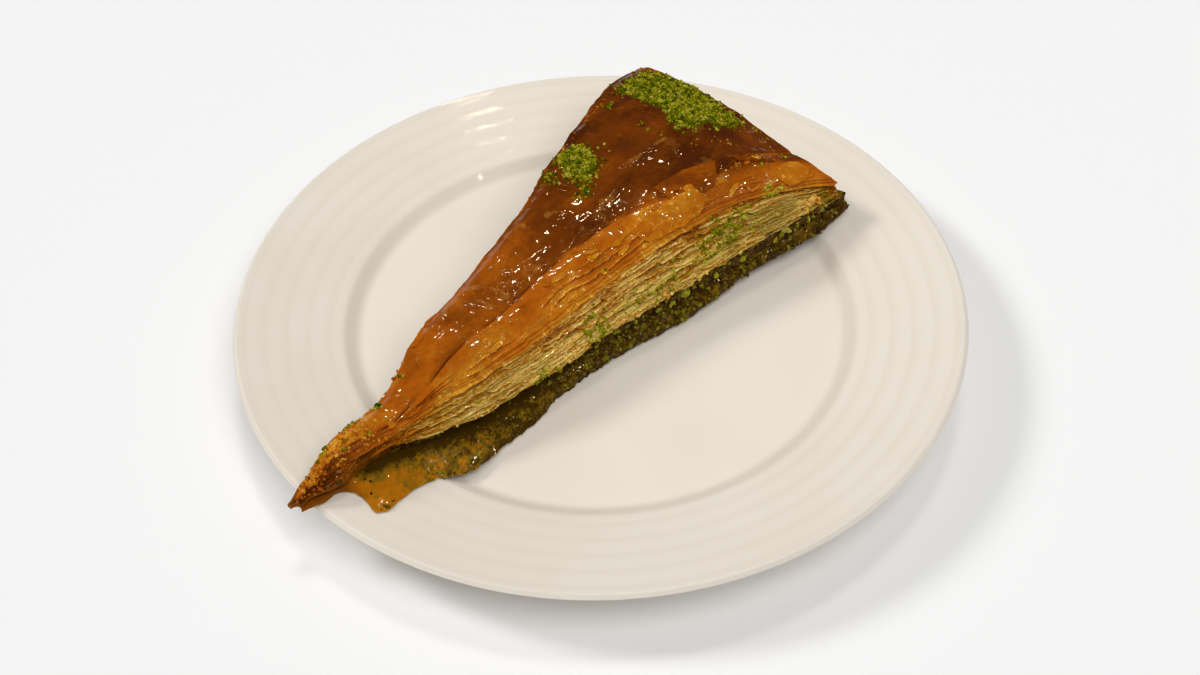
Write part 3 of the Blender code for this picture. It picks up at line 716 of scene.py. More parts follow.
SHEETS_APART = 0.01
STRAW = (0.950, 0.660, 0.160)
GOLDEN = (0.600, 0.243, 0.010)
AMBER = (0.420, 0.100, 0.003)
MAHOGANY = (0.170, 0.036, 0.001)
DARK_CRUST = (0.070, 0.014, 0.001)
BAKED_COLOURS = ((0.0, STRAW), (0.28, GOLDEN), (0.50, AMBER), (0.78, MAHOGANY), (1.0, DARK_CRUST))
SOAKED_SHEETS = (0.250, 0.180, 0.008)
# Colour of the gaps between the sheets: syrup, and painted shade in the recesses.
SHEET_GAP_SYRUP_AND_SHADE = (0.130, 0.050, 0.001)
PALE_FLAKE = (0.900, 0.680, 0.220)
NOISE_MIDDLE = (0.35, 0.65)
SHEET_STRETCH = (1.0, 2.6, 1.0)
SHEET_MOTTLES = (170.0, 0.16)
SHEET_FLECKS = (900.0, 0.22)
SHEET_WETNESS = (0.0, 1.0, 0.0, 0.75)
SHEET_GRAIN_SCALE = 1100.0
LIFTED_GRAINS = (0.78, 0.95, 0.0, 0.6)
PALE_SHEETS = (0.35, 0.60, 1.0, 0.0)
GAP_GRAINS = (0.05, 0.18, 0.5, 0.0)
SHEET_ROUGHNESS = (-0.22, 0.22, 0.3, 0.55)
SHEET_BUMP_SCALE = 1800.0
SHEET_BUMP = (0.6, 0.0002)


def heap_share(distance, across):
    """1 in the heaps of ground pistachio on the crust, 0 away from them."""
    share = np.zeros_like(distance)
    for middle, side, half_length, half_width in CRUMB_HEAPS:
        off_centre = np.hypot((distance - middle) / half_length, (across - side) / half_width)
        share = np.maximum(share, 1.0 - smoothstep(*HEAP_FADE, off_centre))
    return share


def end_lean(distance, across_share, height_share):
    """Pulls the tray edge of the upper sheets back towards the tip, more so at its top."""
    low_inset = STACK_END_INSET * (1.0 - across_share)
    inset = low_inset + (at_place(CRUST_END_INSET, across_share) - low_inset) * height_share
    return distance - inset * smoothstep(LEAN_START, SLICE_LENGTH, distance)


def crust_shape(distance, across_share, near_inset, far_inset):
    """Distance across and height of the crust: slope up to the crease, step, then the wrinkled top."""
    half = near_cut(distance)
    crease = at_place(CREASE_INSET, distance) - half
    fullness = full_at(distance)
    terrace = at_place(TERRACE_TOP, distance)
    sunk_end = NEAR_END_FALL * smoothstep(LEAN_START, SLICE_LENGTH, distance)
    top = at_place(SLICE_TOP, distance) - sunk_end * (1.0 - across_share)
    step = CREASE_STEP * fullness
    step_width = np.minimum(CREASE_WIDTH, CREASE_WIDTH_SHARE * half)
    up_slope = np.minimum(across_share / SLOPE_SHARE, 1.0)
    up_step = np.clip((across_share - SLOPE_SHARE) / (CREASE_SHARE - SLOPE_SHARE), 0.0, 1.0)
    over_top = np.maximum((across_share - CREASE_SHARE) / (1.0 - CREASE_SHARE), 0.0)
    across = (near_inset - half) * (1.0 - up_slope) + crease * up_slope + step_width * up_step
    across = across + (half - far_inset - across) * over_top
    climb = smoothstep(CLIMB_START, 1.0, up_slope)
    height = terrace + (top - step - terrace) * climb + step * up_step
    wrinkles = bumps(WRINKLE_SIZE, WRINKLE_DEPTH, distance, across) * climb
    dome = DOME_RISE * np.sin(math.pi * over_top)
    far_drop = FAR_TOP_DROP * (1.0 - smoothstep(0.0, FAR_ROUNDING, half - far_inset - across))
    heap = HEAP_RISE * heap_share(distance, across)
    return across, height + (wrinkles + dome - far_drop) * fullness + heap


def sheet_heights():
    """Where each sheet of the stack starts, as a share of its height. The sheets are uneven."""
    draws = np.random.default_rng(SHEET_SEED)
    thicknesses = draws.uniform(*SHEET_UNEVENNESS, SHEET_COUNT)
    return np.concatenate(((0.0,), np.cumsum(thicknesses) / thicknesses.sum()))


def sheet_browning(distance, across_share, height_share, place, sheet, broken):
    """How brown the sheets' edges are: more so higher up, at both ends and where they are broken."""
    thin = 1.0 - full_at(distance)
    browning = LOW_BROWNING + HIGH_BROWNING * height_share**2 + THIN_BROWNING * thin
    browning = browning + FAR_BROWNING * (across_share > 0.0)
    browning = browning + bumps(*SHEET_TINT, place, TINTS_APART * sheet) + BREAK_BROWNING * broken
    browning = browning + TIP_BROWNING * smoothstep(*TIP_BROWNING_PLACES, distance)
    outer = smoothstep(*OUTER_BROWNING_PLACES, distance) * (across_share < OUTER_BROWNING_SHARE)
    return browning + OUTER_BROWNING * outer


def sheet_soaking(distance, height_share, place, height):
    """How far syrup and pistachio have soaked the sheets' edges: most at the foot and in the outer half."""
    soaked = smoothstep(*SOAKED_PLACES, distance) * smoothstep(*SOAKED_HEIGHTS, height_share)
    soaked = soaked * smoothstep(*SOAKED_SPREAD, bumps(SOAKED_SIZE, 1.0, place, height))
    low_sheets = smoothstep(*OLIVE_PLACES, distance) * smoothstep(*OLIVE_HEIGHTS, height_share)
    soaked = np.maximum(soaked, OLIVE_SHEETS * low_sheets)
    foot = SOAKED_FOOT * smoothstep(*SOAKED_FOOT_HEIGHTS, height_share) * full_at(distance)
    rise, fall = SOAKED_NEAR_TIP_PLACES
    near_tip = smoothstep(*rise, distance) * smoothstep(*fall, distance)
    return np.maximum(soaked, foot + SOAKED_NEAR_TIP * near_tip)


def stack_points(shape):
    """Points of the stack with each sheet's ragged edge, and the values that its paint reads."""
    distance, across_share, level, facing, place = round_the_slice(shape, STACK_COLUMNS, STACK_LEVELS)
    sunk = level == STACK_LEVELS
    level = np.minimum(level, STACK_LEVELS - 1)
    starts = sheet_heights()
    sheet = np.minimum(level // len(SHEET_LEVELS), SHEET_COUNT - 1)
    part = level - sheet * len(SHEET_LEVELS)
    part_heights, part_insets = np.array((*SHEET_LEVELS, (1.0, SHEET_GAP_DEPTH))).T
    height_share = starts[sheet] + (starts[sheet + 1] - starts[sheet]) * part_heights[part]
    middle = 0.5 * (starts[sheet] + starts[sheet + 1])
    step_insets, step_heights = np.array(NEAR_STEPS).T
    inset_share = np.interp(middle, step_heights, step_insets)
    stack_inset = at_place(STACK_INSET, distance)
    near_inset = stack_inset + (at_place(TERRACE_INSET, distance) - stack_inset) * inset_share
    far_inset = at_place(FAR_INSET, distance) - TOP_FAR_REACH * (1.0 - height_share)
    across = spread(distance, across_share, near_inset, far_inset)
    leaned = end_lean(distance, across_share, height_share)
    fullness = full_at(distance)
    crest = crust_shape(distance, across_share, near_inset, far_inset)[1] - STACK_TOP_SINK * fullness
    low = at_place(FILLING_TOP, leaned)
    waves = ragged(SHEET_WAVES, place, WAVES_APART * sheet)
    height = low + (crest - low) * height_share + waves * fullness * np.sin(math.pi * height_share)
    edge = ragged(SHEET_RAGGED, place, EDGES_APART * sheet)
    broken = smoothstep(*BREAK_SPREAD, bumps(BREAK_SIZE, 1.0, place, BREAKS_APART * sheet))
    gap_share = GAP_SHARE_AT_TIP + (1.0 - GAP_SHARE_AT_TIP) * fullness
    outward = (edge - BREAK_DEPTH * broken) * fullness - part_insets[part] * gap_share
    tucked = smoothstep(*TOP_TUCK_HEIGHTS, height_share) * smoothstep(*TOP_TUCK_PLACES, distance)
    outward = outward - LID_INSET * sunk * fullness - TOP_TUCK * tucked
    height = height - LID_DEPTH * sunk * fullness
    leaned = leaned + outward * facing[:, 1]
    across = across + outward * facing[:, 0]
    # The gaps are kept for the paint, which darkens them with syrup and painted shade.
    in_gap = (part == 0) | (part == len(SHEET_LEVELS))
    return set_out(leaned, across, height), {
        "place": np.column_stack((place, height, SHEETS_APART * sheet)),
        "browning": sheet_browning(distance, across_share, height_share, place, sheet, broken),
        "gap": in_gap * (DARK_GAP_AT_TIP + (1.0 - DARK_GAP_AT_TIP) * fullness),
        "soaked": sheet_soaking(distance, height_share, place, height),
    }


def mottle(tree, places, scale, depth):
    """Even noise from -depth to depth, with so many bumps to the metre."""
    return spread_of(tree, speckle(tree, places, scale), *NOISE_MIDDLE, -depth, depth)


def sheet_paint():
    """Buttery sheet edges: pale and flaky, darker in the gaps between them, with syrup and painted shade
    there.
    """
    finish = {
        "Specular IOR Level": 0.0,
        "Coat Weight": 0.2,
        "Coat Roughness": 0.08,
        "Subsurface Weight": 0.2,
        "Subsurface Scale": 0.0015,
        "Subsurface Radius": (1.0, 0.5, 0.15),
    }
    paint, tree, shader = new_paint("baked_sheets", finish)
    places = kept_value(tree, "place", "Vector")
    stretched = wire(tree, "VectorMath", {0: places, 1: SHEET_STRETCH}, operation="MULTIPLY")[0]
    flecks = mottle(tree, stretched, *SHEET_FLECKS)
    baked = math_of(tree, "ADD", kept_value(tree, "browning"), mottle(tree, stretched, *SHEET_MOTTLES))
    baked = math_of(tree, "ADD", baked, flecks, clamped=True)
    wet = spread_of(tree, kept_value(tree, "soaked"), *SHEET_WETNESS)
    colour = blend_of(tree, wet, ramp_of(tree, baked, BAKED_COLOURS), SOAKED_SHEETS)
    tint, _ = grains_of(tree, stretched, SHEET_GRAIN_SCALE)
    pale = spread_of(tree, baked, *PALE_SHEETS)
    lifted = math_of(tree, "MULTIPLY", spread_of(tree, tint, *LIFTED_GRAINS), pale)
    colour = blend_of(tree, lifted, colour, PALE_FLAKE)
    colour = blend_of(tree, spread_of(tree, tint, *GAP_GRAINS), colour, SHEET_GAP_SYRUP_AND_SHADE)
    # Syrup and painted shade in the gaps between the sheets.
    colour = blend_of(tree, kept_value(tree, "gap"), colour, SHEET_GAP_SYRUP_AND_SHADE)
    roughness = spread_of(tree, flecks, *SHEET_ROUGHNESS)
    relief = bump_of(tree, speckle(tree, stretched, SHEET_BUMP_SCALE), *SHEET_BUMP)
    feed(tree, shader, {"Base Color": colour, "Roughness": roughness, "Normal": relief})
    return paint


shape = ring_wall(STACK_COLUMNS, STACK_LEVELS)
points, kept = stack_points(shape)
move_corners(shape, points)
stack = make_piece("baked_sheet_stack", shape, sheet_paint(), FOOD_SHARP_ANGLE)
keep_values(stack, **kept)
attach(stack, "root")
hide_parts("top_pastry")

# Crust
# The browned top sheets, stuck together with syrup. They slope up from the near edge in thin ledges to a
# crease, step up there, and wrinkle and blister over the top. The syrup leaves them glossy.
CRUST_CELLS = (430, 180)
CRUST_EDGE = (
    (0.00035, 0.0001, 0), (0.00055, -0.0008, 0), (0.00065, 0.0011, 1), (0.00100, 0.0012, 1),
    (0.00125, 0.0002, 1), (0.00135, 0.0021, 2), (0.00175, 0.0022, 2), (0.00200, 0.0002, 2),
    (0.00600, -0.0020, 2),
)
CRUST_EDGE_AT_TIP = 0.25
CRUST_EDGE_WANDER = 0.7
CRUST_EDGES_APART = 0.017
TRAY_END_REACH = 0.4
TIP_END_REACH = 0.2
FAR_EDGE_REACH = 0.4
CRUST_RAGGED = ((0.0130, 0.0009), (0.0040, 0.0005), (0.0015, 0.0002))
RAGGED_SIDES_APART = 0.03
FAR_RAGGED_SHARE = 0.6
LEDGE_COUNT = 5.0
LEDGE_RISE = 0.0010
LEDGE_RISER = 0.09
LEDGE_WANDER = ((0.0300, 1.3), (0.0070, 0.30), (0.0020, 0.10))
LEDGE_WANDER_SLANT = 0.006
LEDGE_MASK_SIZE = 0.0230
LEDGE_MASK_SLANT = 0.03
LEDGE_MASK = (-0.30, 0.10)
LEDGE_TOP_FADE = (0.62, 0.34)
LEDGE_FOOT_FADE = (0.0, 0.06)
# Painted shade on the ledges' risers and a painted highlight on their lips.
LEDGE_LIP_HIGHLIGHT = (0.30, 0.10)
LEDGE_SHADE = 0.22
# Painted shade in the crease.
CREASE_SHADE = 0.45
CREASE_SHADE_WIDTH = 0.014
CREASE_SHADE_SIZE = 0.012
CREASE_SHADE_SPREAD = (-0.35, 0.25)
END_BROWNING = 0.32
END_BROWNING_PLACES = (0.185, 0.205)
END_BROWNING_SLOPE = (0.45, 0.85)
HEAP_OUTLINES = (
    (
        (0.208, 0.040), (0.215, 0.040), (0.223, 0.039), (0.229, 0.035), (0.229, 0.026), (0.226, 0.016),
        (0.223, 0.007), (0.220, -0.003), (0.214, -0.003), (0.211, 0.002), (0.204, 0.002), (0.198, 0.006),
        (0.202, 0.015), (0.206, 0.025), (0.205, 0.032),
    ),
    (
        (0.160, 0.031), (0.165, 0.032), (0.169, 0.029), (0.168, 0.021), (0.163, 0.017), (0.156, 0.014),
        (0.155, 0.018), (0.154, 0.024),
    ),
)
HEAP_EDGE = ((0.0062, 0.0026), (0.0021, 0.0012))
POWDER_FADE = (-0.0005, 0.0010)
POWDER_SMOOTHING = 0.8
FOLDS = (
    (((0.1171, 0.0139), (0.1120, 0.0125), (0.1039, 0.0086)), 0.0011, 0.00060),
    (((0.1135, 0.0158), (0.1070, 0.0147), (0.0970, 0.0142)), 0.0016, 0.00045),
    (((0.0876, 0.0138), (0.0960, 0.0118), (0.0985, -0.0015)), 0.0014, 0.00085),
    (((0.0850, 0.0098), (0.0905, 0.0075), (0.0915, 0.0008)), 0.0012, 0.00060),
    (((0.0711, 0.0098), (0.0790, 0.0100), (0.0876, 0.0138)), 0.0014, 0.00070),
    (((0.0640, 0.0040), (0.0700, 0.0050), (0.0770, 0.0040)), 0.0012, 0.00045),
    (((0.1410, 0.0080), (0.1345, 0.0160), (0.1270, 0.0190)), 0.0018, 0.00060),
    (((0.1900, 0.0060), (0.1780, 0.0070), (0.1640, 0.0105)), 0.0016, 0.00070),
    (((0.1600, 0.0040), (0.1500, 0.0015), (0.1410, 0.0045)), 0.0016, 0.00050),
    (((0.1250, 0.0040), (0.1200, 0.0000), (0.1100, 0.0010)), 0.0016, 0.00040),
    (((0.2060, -0.0180), (0.1980, -0.0150), (0.1860, -0.0170)), 0.0014, 0.00045),
    (((0.2180, -0.0240), (0.2120, -0.0220), (0.2050, -0.0250)), 0.0012, 0.00045),
)
FOLD_SAMPLES = 14
FOLD_TAPER = (0.08, 0.84)
LONG_WRINKLE = (0.0210, 0.0075, 0.00030)
WRINKLE_BEND = (0.023, 0.006)
WRINKLE_LEVEL = 0.6
BLISTER = (0.0042, 0.00024)
BLISTER_SPREAD = (0.08, 0.45)
CRINKLE = ((0.0036, 0.00012), (0.0018, 0.00005))
CRINKLE_EVERYWHERE = 0.3
PATCH_SIZE = 0.0150
PATCH_SHIFT = 0.05
PATCH_SPREAD = (0.0, 0.35)
SLOPE_RELIEF = 0.70
TOP_RELIEF_GAIN = 0.30
BROWNING_CLOUDS = ((0.0300, 0.18), (0.0110, 0.13))
SLOPE_CLOUDS = 0.4
EDGE_SHEET_PALING = 0.05
# Pale dry patches and painted sheen on the folds' ridges and in the rough patches.
DRY_SHEEN_CLOUDS = ((0.0065, 0.9), (0.0022, 0.6))
FOLD_DRY_SHEEN = 1300.0
FOLD_DRY_SHEEN_LEVEL = 0.3
FOLD_DRY_SHEEN_SPREAD = (0.15, 0.75)
PATCH_DRY_SHEEN = 0.6
PATCH_DRY_SHEEN_SPREAD = (0.1, 0.5)
TOP_BROWNING = (
    (0.002, 0.74), (0.010, 0.48), (0.022, 0.40), (0.040, 0.44), (0.055, 0.56), (0.075, 0.64), (0.110, 0.68),
    (0.160, 0.86), (0.200, 0.94), (0.234, 0.82),
)
SLOPE_BROWNING = (
    (0.002, 0.90), (0.020, 0.72), (0.060, 0.49), (0.120, 0.48), (0.170, 0.47), (0.200, 0.54), (0.234, 0.49),
)
POWDER_GREEN = (0.080, 0.075, 0.004)
# Colour of the pale dry patches and their painted sheen.
DRY_SHEEN_COLOUR = (0.480, 0.200, 0.030)
# Painted sparkles: bright grains that stand in for glints on the paler crust.
PAINTED_SPARKLE_COLOUR = (0.950, 0.580, 0.120)
CRUST_STRETCH = (0.35, 1.0, 1.0)
CRUST_STREAKS = (110.0, 0.08)
CRUST_MOTTLES = (420.0, 0.04)
FINE_SCALE = 1500.0
DRY_SHEEN_RANGE = (0.10, 0.75, 0.0, 0.5)
PAINTED_SPARKLE_FADE = (0.40, 0.62, 1.0, 0.3)
PAINTED_SPARKLE_GRAINS = (0.86, 0.97, 0.0, 0.5)
CRUST_ROUGHNESS = (0.0, 0.6, 0.22, 0.50)
BLISTER_NOISE = (620.0, 2.0)
BLISTER_BUMP_SHARE = 2.2
CRUST_BUMP = (0.7, 0.00025)
SYRUP_NOISE = (330.0, 0.3)
SYRUP_BUMP_STRENGTH = (0.50, 0.75, 1.0, 0.6)
SYRUP_BUMP_DISTANCE = 0.00014


def capped_sheet(lengthwise, crosswise, levels):
    """Unit sheet of even cells, whose rim hangs down in levels of 1 each and is closed below."""
    sheet = bmesh.new()
    bmesh.ops.create_grid(sheet, x_segments=lengthwise, y_segments=crosswise, size=0.5)
    bmesh.ops.translate(sheet, verts=sheet.verts, vec=(0.5, 0.5, 0.0))
    rim = [edge for edge in sheet.edges if edge.is_boundary]
    for _ in range(levels):
        lowered = bmesh.ops.extrude_edge_only(sheet, edges=rim)["geom"]
        corners = [item for item in lowered if isinstance(item, bmesh.types.BMVert)]
        bmesh.ops.translate(sheet, verts=corners, vec=(0.0, 0.0, -1.0))
        rim = [item for item in lowered if isinstance(item, bmesh.types.BMEdge) and item.is_boundary]
    bmesh.ops.holes_fill(sheet, edges=rim, sides=0)
    return sheet


def ledges(distance, up_slope):
    """Relief of the broken sheets on the slope, with painted shade on their risers and a painted highlight on
    their lips.
    """
    wander = ragged(LEDGE_WANDER, distance, LEDGE_WANDER_SLANT * up_slope)
    part = (up_slope * LEDGE_COUNT + wander) % 1.0
    riser = np.clip(part / LEDGE_RISER, 0.0, 1.0)
    relief = np.where(part < LEDGE_RISER, riser - 0.5, 0.5 - (part - LEDGE_RISER) / (1.0 - LEDGE_RISER))
    shown = smoothstep(*LEDGE_MASK, bumps(LEDGE_MASK_SIZE, 1.0, distance, LEDGE_MASK_SLANT * up_slope))
    shown = shown * smoothstep(*LEDGE_TOP_FADE, up_slope) * smoothstep(*LEDGE_FOOT_FADE, up_slope)
    # Painted shade on the risers, a painted highlight on the lips.
    shade = np.where(part < LEDGE_RISER, 1.0, -smoothstep(*LEDGE_LIP_HIGHLIGHT, part))
    return LEDGE_RISE * relief * shown, LEDGE_SHADE * shade * shown


def depth_inside(outline, distance, across):
    """How far places lie inside an outline, less than zero outside it."""
    inside = np.zeros(distance.shape, bool)
    nearest = np.full(distance.shape, np.inf)
    for (start_x, start_y), (end_x, end_y) in zip(outline, outline[1:] + outline[:1]):
        run_x, run_y = end_x - start_x, end_y - start_y
        share = ((distance - start_x) * run_x + (across - start_y) * run_y) / (run_x**2 + run_y**2)
        share = np.clip(share, 0.0, 1.0)
        off = np.hypot(distance - start_x - share * run_x, across - start_y - share * run_y)
        nearest = np.minimum(nearest, off)
        if run_y != 0.0:
            crosses = (start_y > across) != (end_y > across)
            inside ^= crosses & (distance < start_x + run_x * (across - start_y) / run_y)
    return np.where(inside, nearest, -nearest)


def powder_depth(distance, across):
    """How far places lie inside the ragged heaps of ground pistachio."""
    depth = np.maximum(*(depth_inside(outline, distance, across) for outline in HEAP_OUTLINES))
    return depth + ragged(HEAP_EDGE, distance, across)


def fold_relief(distance, across):
    """Height that the longer folds of the top sheet add, each a ridge along a curve."""
    relief = np.zeros_like(distance)
    taper_start, taper_length = FOLD_TAPER
    for (start, middle, end), width, height in FOLDS:
        shares = np.linspace(0.0, 1.0, FOLD_SAMPLES)[:, None]
        curve = (1 - shares) ** 2 * start + 2 * shares * (1 - shares) * np.array(middle) + shares**2 * end
        taper = np.sin(math.pi * (taper_start + taper_length * shares[:, 0]))
        for (along, side), strength in zip(curve, taper):
            off = np.hypot(distance - along, across - side) / width
            relief = np.maximum(relief, height * strength * np.exp(-off * off))
    return relief


def top_relief(distance, across):
    """Wrinkles, blisters and crinkles of the top sheet, and the patches where they are rougher."""
    along_size, across_size, depth = LONG_WRINKLE
    blister_size, blister_height = BLISTER
    bend = bumps(*WRINKLE_BEND, distance, across)
    long = 1.0 - 2.0 * np.abs(bumps(1.0, 1.0, (distance + bend) / along_size, (across + bend) / across_size))
    patch = smoothstep(*PATCH_SPREAD, bumps(PATCH_SIZE, 1.0, distance, across + PATCH_SHIFT))
    blister = smoothstep(*BLISTER_SPREAD, bumps(blister_size, 1.0, distance, across)) * blister_height
    crinkle = ragged(CRINKLE, distance, across)
    relief = depth * (long - WRINKLE_LEVEL) + patch * (blister + crinkle) + CRINKLE_EVERYWHERE * crinkle
    return relief, patch


def crust_browning_and_shade(distance, across, over, shade, sheet):
    """How brown the crust is: most on the top, paler on the sheets under its edge, with painted shade in the
    crease and on the ledges' risers and a painted highlight on their lips.
    """
    on_top = smoothstep(SLOPE_SHARE, CREASE_SHARE, over)
    on_slope = over < SLOPE_SHARE
    browning = at_place(SLOPE_BROWNING, distance) * (1.0 - on_top) + at_place(TOP_BROWNING, distance) * on_top
    crease = np.exp(-(((over - SLOPE_SHARE) / CREASE_SHADE_WIDTH) ** 2))
    crease = crease * smoothstep(*CREASE_SHADE_SPREAD, bumps(CREASE_SHADE_SIZE, 1.0, distance))
    # Painted shade in the crease and on the risers, a painted highlight on the lips.
    browning = browning + (shade * on_slope + CREASE_SHADE * crease) * full_at(distance)
    browning = browning - EDGE_SHEET_PALING * sheet
    high_slope = smoothstep(*END_BROWNING_SLOPE, over / SLOPE_SHARE) * on_slope
    browning = browning + END_BROWNING * high_slope * smoothstep(*END_BROWNING_PLACES, distance)
    clouds = SLOPE_CLOUDS + (1.0 - SLOPE_CLOUDS) * on_top
    return browning + ragged(BROWNING_CLOUDS, distance, across) * clouds


def crust_points(along, over, down, ledge_share=1.0):
    """Points of the crust, and the values that its paint reads."""
    distance = SLICE_START + (SLICE_LENGTH - SLICE_START) * along
    fullness = full_at(distance)
    jag = ragged(CRUST_RAGGED, distance, RAGGED_SIDES_APART * np.round(over)) * fullness
    near_inset = at_place(TERRACE_INSET, distance) + np.where(over < 0.5, jag, 0.0)
    far_inset = at_place(FAR_INSET, distance) + np.where(over > 0.5, FAR_RAGGED_SHARE * jag, 0.0)
    across, height = crust_shape(distance, over, near_inset, far_inset)
    relief, patch = top_relief(distance, across)
    folds = fold_relief(distance, across)
    on_top = smoothstep(SLOPE_SHARE, CREASE_SHARE, over)
    in_heap = smoothstep(*POWDER_FADE, powder_depth(distance, across))
    ledge, shade = ledges(distance, np.minimum(over / SLOPE_SHARE, 1.0))
    ledge = ledge_share * ledge * (over < SLOPE_SHARE)
    relief = relief * (SLOPE_RELIEF + TOP_RELIEF_GAIN * on_top) + folds + ledge
    height = height + relief * fullness * (1.0 - POWDER_SMOOTHING * in_heap)
    leaned = end_lean(distance, over, 1.0)
    depths, reaches, sheets = np.array(((0.0, 0.0, 0), *CRUST_EDGE)).T
    level = np.round(-down).astype(int)
    sheet = sheets[level]
    wander = ragged(CRUST_RAGGED, distance + across, CRUST_EDGES_APART * sheet)
    reach = (reaches[level] + CRUST_EDGE_WANDER * wander * (sheet > 0)) * fullness
    leaned = leaned + reach * ((along == 1.0) * TRAY_END_REACH - (along == 0.0) * TIP_END_REACH)
    edge_across = across + reach * ((over == 1.0) * FAR_EDGE_REACH - (over == 0.0))
    height = height - depths[level] * (CRUST_EDGE_AT_TIP + (1.0 - CRUST_EDGE_AT_TIP) * fullness)
    # Pale dry patches and painted sheen on the folds' ridges and in the rough patches.
    dry_sheen = folds * FOLD_DRY_SHEEN + ragged(DRY_SHEEN_CLOUDS, distance, across) - FOLD_DRY_SHEEN_LEVEL
    patch_dry_sheen = smoothstep(*PATCH_DRY_SHEEN_SPREAD, ragged(DRY_SHEEN_CLOUDS, across, distance))
    return set_out(leaned, edge_across, height), {
        "place": np.column_stack((distance, across, height)),
        "browning": crust_browning_and_shade(distance, across, over, shade, sheet),
        "patch": patch,
        "dry_sheen": smoothstep(*FOLD_DRY_SHEEN_SPREAD, dry_sheen) * on_top + PATCH_DRY_SHEEN * patch * patch_dry_sheen,
        "powder": in_heap,
    }


def crust_paint():
    """Browned, syrup-glossed sheets: amber on the slope and mahogany on top, mottled, with dull blisters,
    pale dry patches with painted sheen on the folds, and painted sparkles.
    """
    finish = {
        "Specular IOR Level": 0.0,
        "Coat Weight": 0.4,
        "Coat Roughness": 0.06,
        "Subsurface Weight": 0.1,
        "Subsurface Scale": 0.0015,
        "Subsurface Radius": (1.0, 0.35, 0.08),
    }
    paint, tree, shader = new_paint("browned_crust", finish)
    places = kept_value(tree, "place", "Vector")
    patch = kept_value(tree, "patch")
    streaky = wire(tree, "VectorMath", {0: places, 1: CRUST_STRETCH}, operation="MULTIPLY")[0]
    # The crust's kept browning also holds the painted shade and highlight of the crease and the ledges.
    baked = math_of(tree, "ADD", kept_value(tree, "browning"), mottle(tree, streaky, *CRUST_STREAKS))
    baked = math_of(tree, "ADD", baked, mottle(tree, places, *CRUST_MOTTLES), clamped=True)
    fine = speckle(tree, places, FINE_SCALE)
    # Pale dry patches and painted sheen.
    dry_sheen_share = spread_of(tree, math_of(tree, "MULTIPLY", kept_value(tree, "dry_sheen"), fine), *DRY_SHEEN_RANGE)
    colour = blend_of(tree, dry_sheen_share, ramp_of(tree, baked, BAKED_COLOURS), DRY_SHEEN_COLOUR)
    # Painted sparkles: bright grains that stand in for glints on the paler crust.
    tint, _ = grains_of(tree, places, FINE_SCALE)
    painted_sparkle = math_of(tree, "MULTIPLY", tint, spread_of(tree, baked, *PAINTED_SPARKLE_FADE))
    colour = blend_of(tree, spread_of(tree, painted_sparkle, *PAINTED_SPARKLE_GRAINS), colour, PAINTED_SPARKLE_COLOUR)
    colour = blend_of(tree, kept_value(tree, "powder"), colour, POWDER_GREEN)
    roughness = spread_of(tree, math_of(tree, "MULTIPLY", patch, fine), *CRUST_ROUGHNESS)
    blistered = math_of(tree, "MULTIPLY", patch, speckle(tree, places, *BLISTER_NOISE))
    relief = math_of(tree, "MULTIPLY_ADD", blistered, BLISTER_BUMP_SHARE, fine)
    syrup = speckle(tree, places, *SYRUP_NOISE)
    feed(tree, shader, {
        "Base Color": colour,
        "Roughness": roughness,
        "Normal": bump_of(tree, relief, *CRUST_BUMP),
        "Coat Normal": bump_of(
            tree, syrup, spread_of(tree, baked, *SYRUP_BUMP_STRENGTH), SYRUP_BUMP_DISTANCE
        ),
    })
    return paint


shape = capped_sheet(*CRUST_CELLS, len(CRUST_EDGE))
points, kept = crust_points(*unit_places(shape))
move_corners(shape, points)
crust = make_piece("browned_crust", shape, crust_paint(), FOOD_SHARP_ANGLE)
keep_values(crust, **kept)
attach(crust, "root")
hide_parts("top_pastry")

# Lifted flakes
# Thin pieces of the top sheets that broke when the slice was cut. They lie on the crust with their edges
# lifted, and the syrup holds them down. A large one is given by its four corners' places, their lifts, its
# browning and how far its ends narrow. The third large one is a dark strip of painted shadow under a fold.
FLAKE_CELLS = (24, 12)
FLAKE_THICKNESS = 0.00022
FLAKE_RAGGED = ((0.0050, 0.0009), (0.0016, 0.0004))
FLAKE_RAGGED_SHIFT = 0.1
FLAKE_RAGGED_POWER = 4
FLAKE_RIPPLE = ((0.0060, 0.0003), (0.0020, 0.0001))
LARGE_FLAKES = (
    (
        ((0.147, -0.0105), (0.176, -0.0150), (0.179, -0.0245), (0.151, -0.0200)),
        (0.0002, 0.0004, 0.0007, 0.0005), 0.42, 0.3,
    ),
    (
        ((0.166, -0.0060), (0.1936, -0.0145), (0.1836, -0.0225), (0.168, -0.0160)),
        (0.0001, 0.0002, 0.0003, 0.0001), 0.72, 0.3,
    ),
    # A narrow dark strip of painted shadow under a fold.
    (
        ((0.196, -0.0165), (0.218, -0.0262), (0.2175, -0.0282), (0.197, -0.0190)),
        (0.0003, 0.0004, 0.0006, 0.0005), 0.80, 0.9,
    ),
    (
        ((0.211, -0.0290), (0.229, -0.0290), (0.230, -0.0385), (0.213, -0.0390)),
        (0.0002, 0.0004, 0.0005, 0.0003), 0.46, 0.5,
    ),
    (
        ((0.0645, 0.0100), (0.0700, 0.0110), (0.0690, 0.0142), (0.0642, 0.0138)),
        (0.0002, 0.0002, 0.0010, 0.0008), 0.52, 0.6,
    ),
    (
        ((0.0730, 0.0115), (0.0795, 0.0130), (0.0790, 0.0172), (0.0728, 0.0160)),
        (0.0002, 0.0002, 0.0008, 0.0012), 0.55, 0.6,
    ),
)
SMALL_FLAKE_COUNT = 30
SMALL_FLAKE_PLACES = (0.040, 0.222)
SMALL_FLAKE_SHARES = (0.01, 0.34)
SMALL_FLAKE_LENGTH = (0.0020, 0.0075)
SMALL_FLAKE_WIDTH = (0.0010, 0.0026)
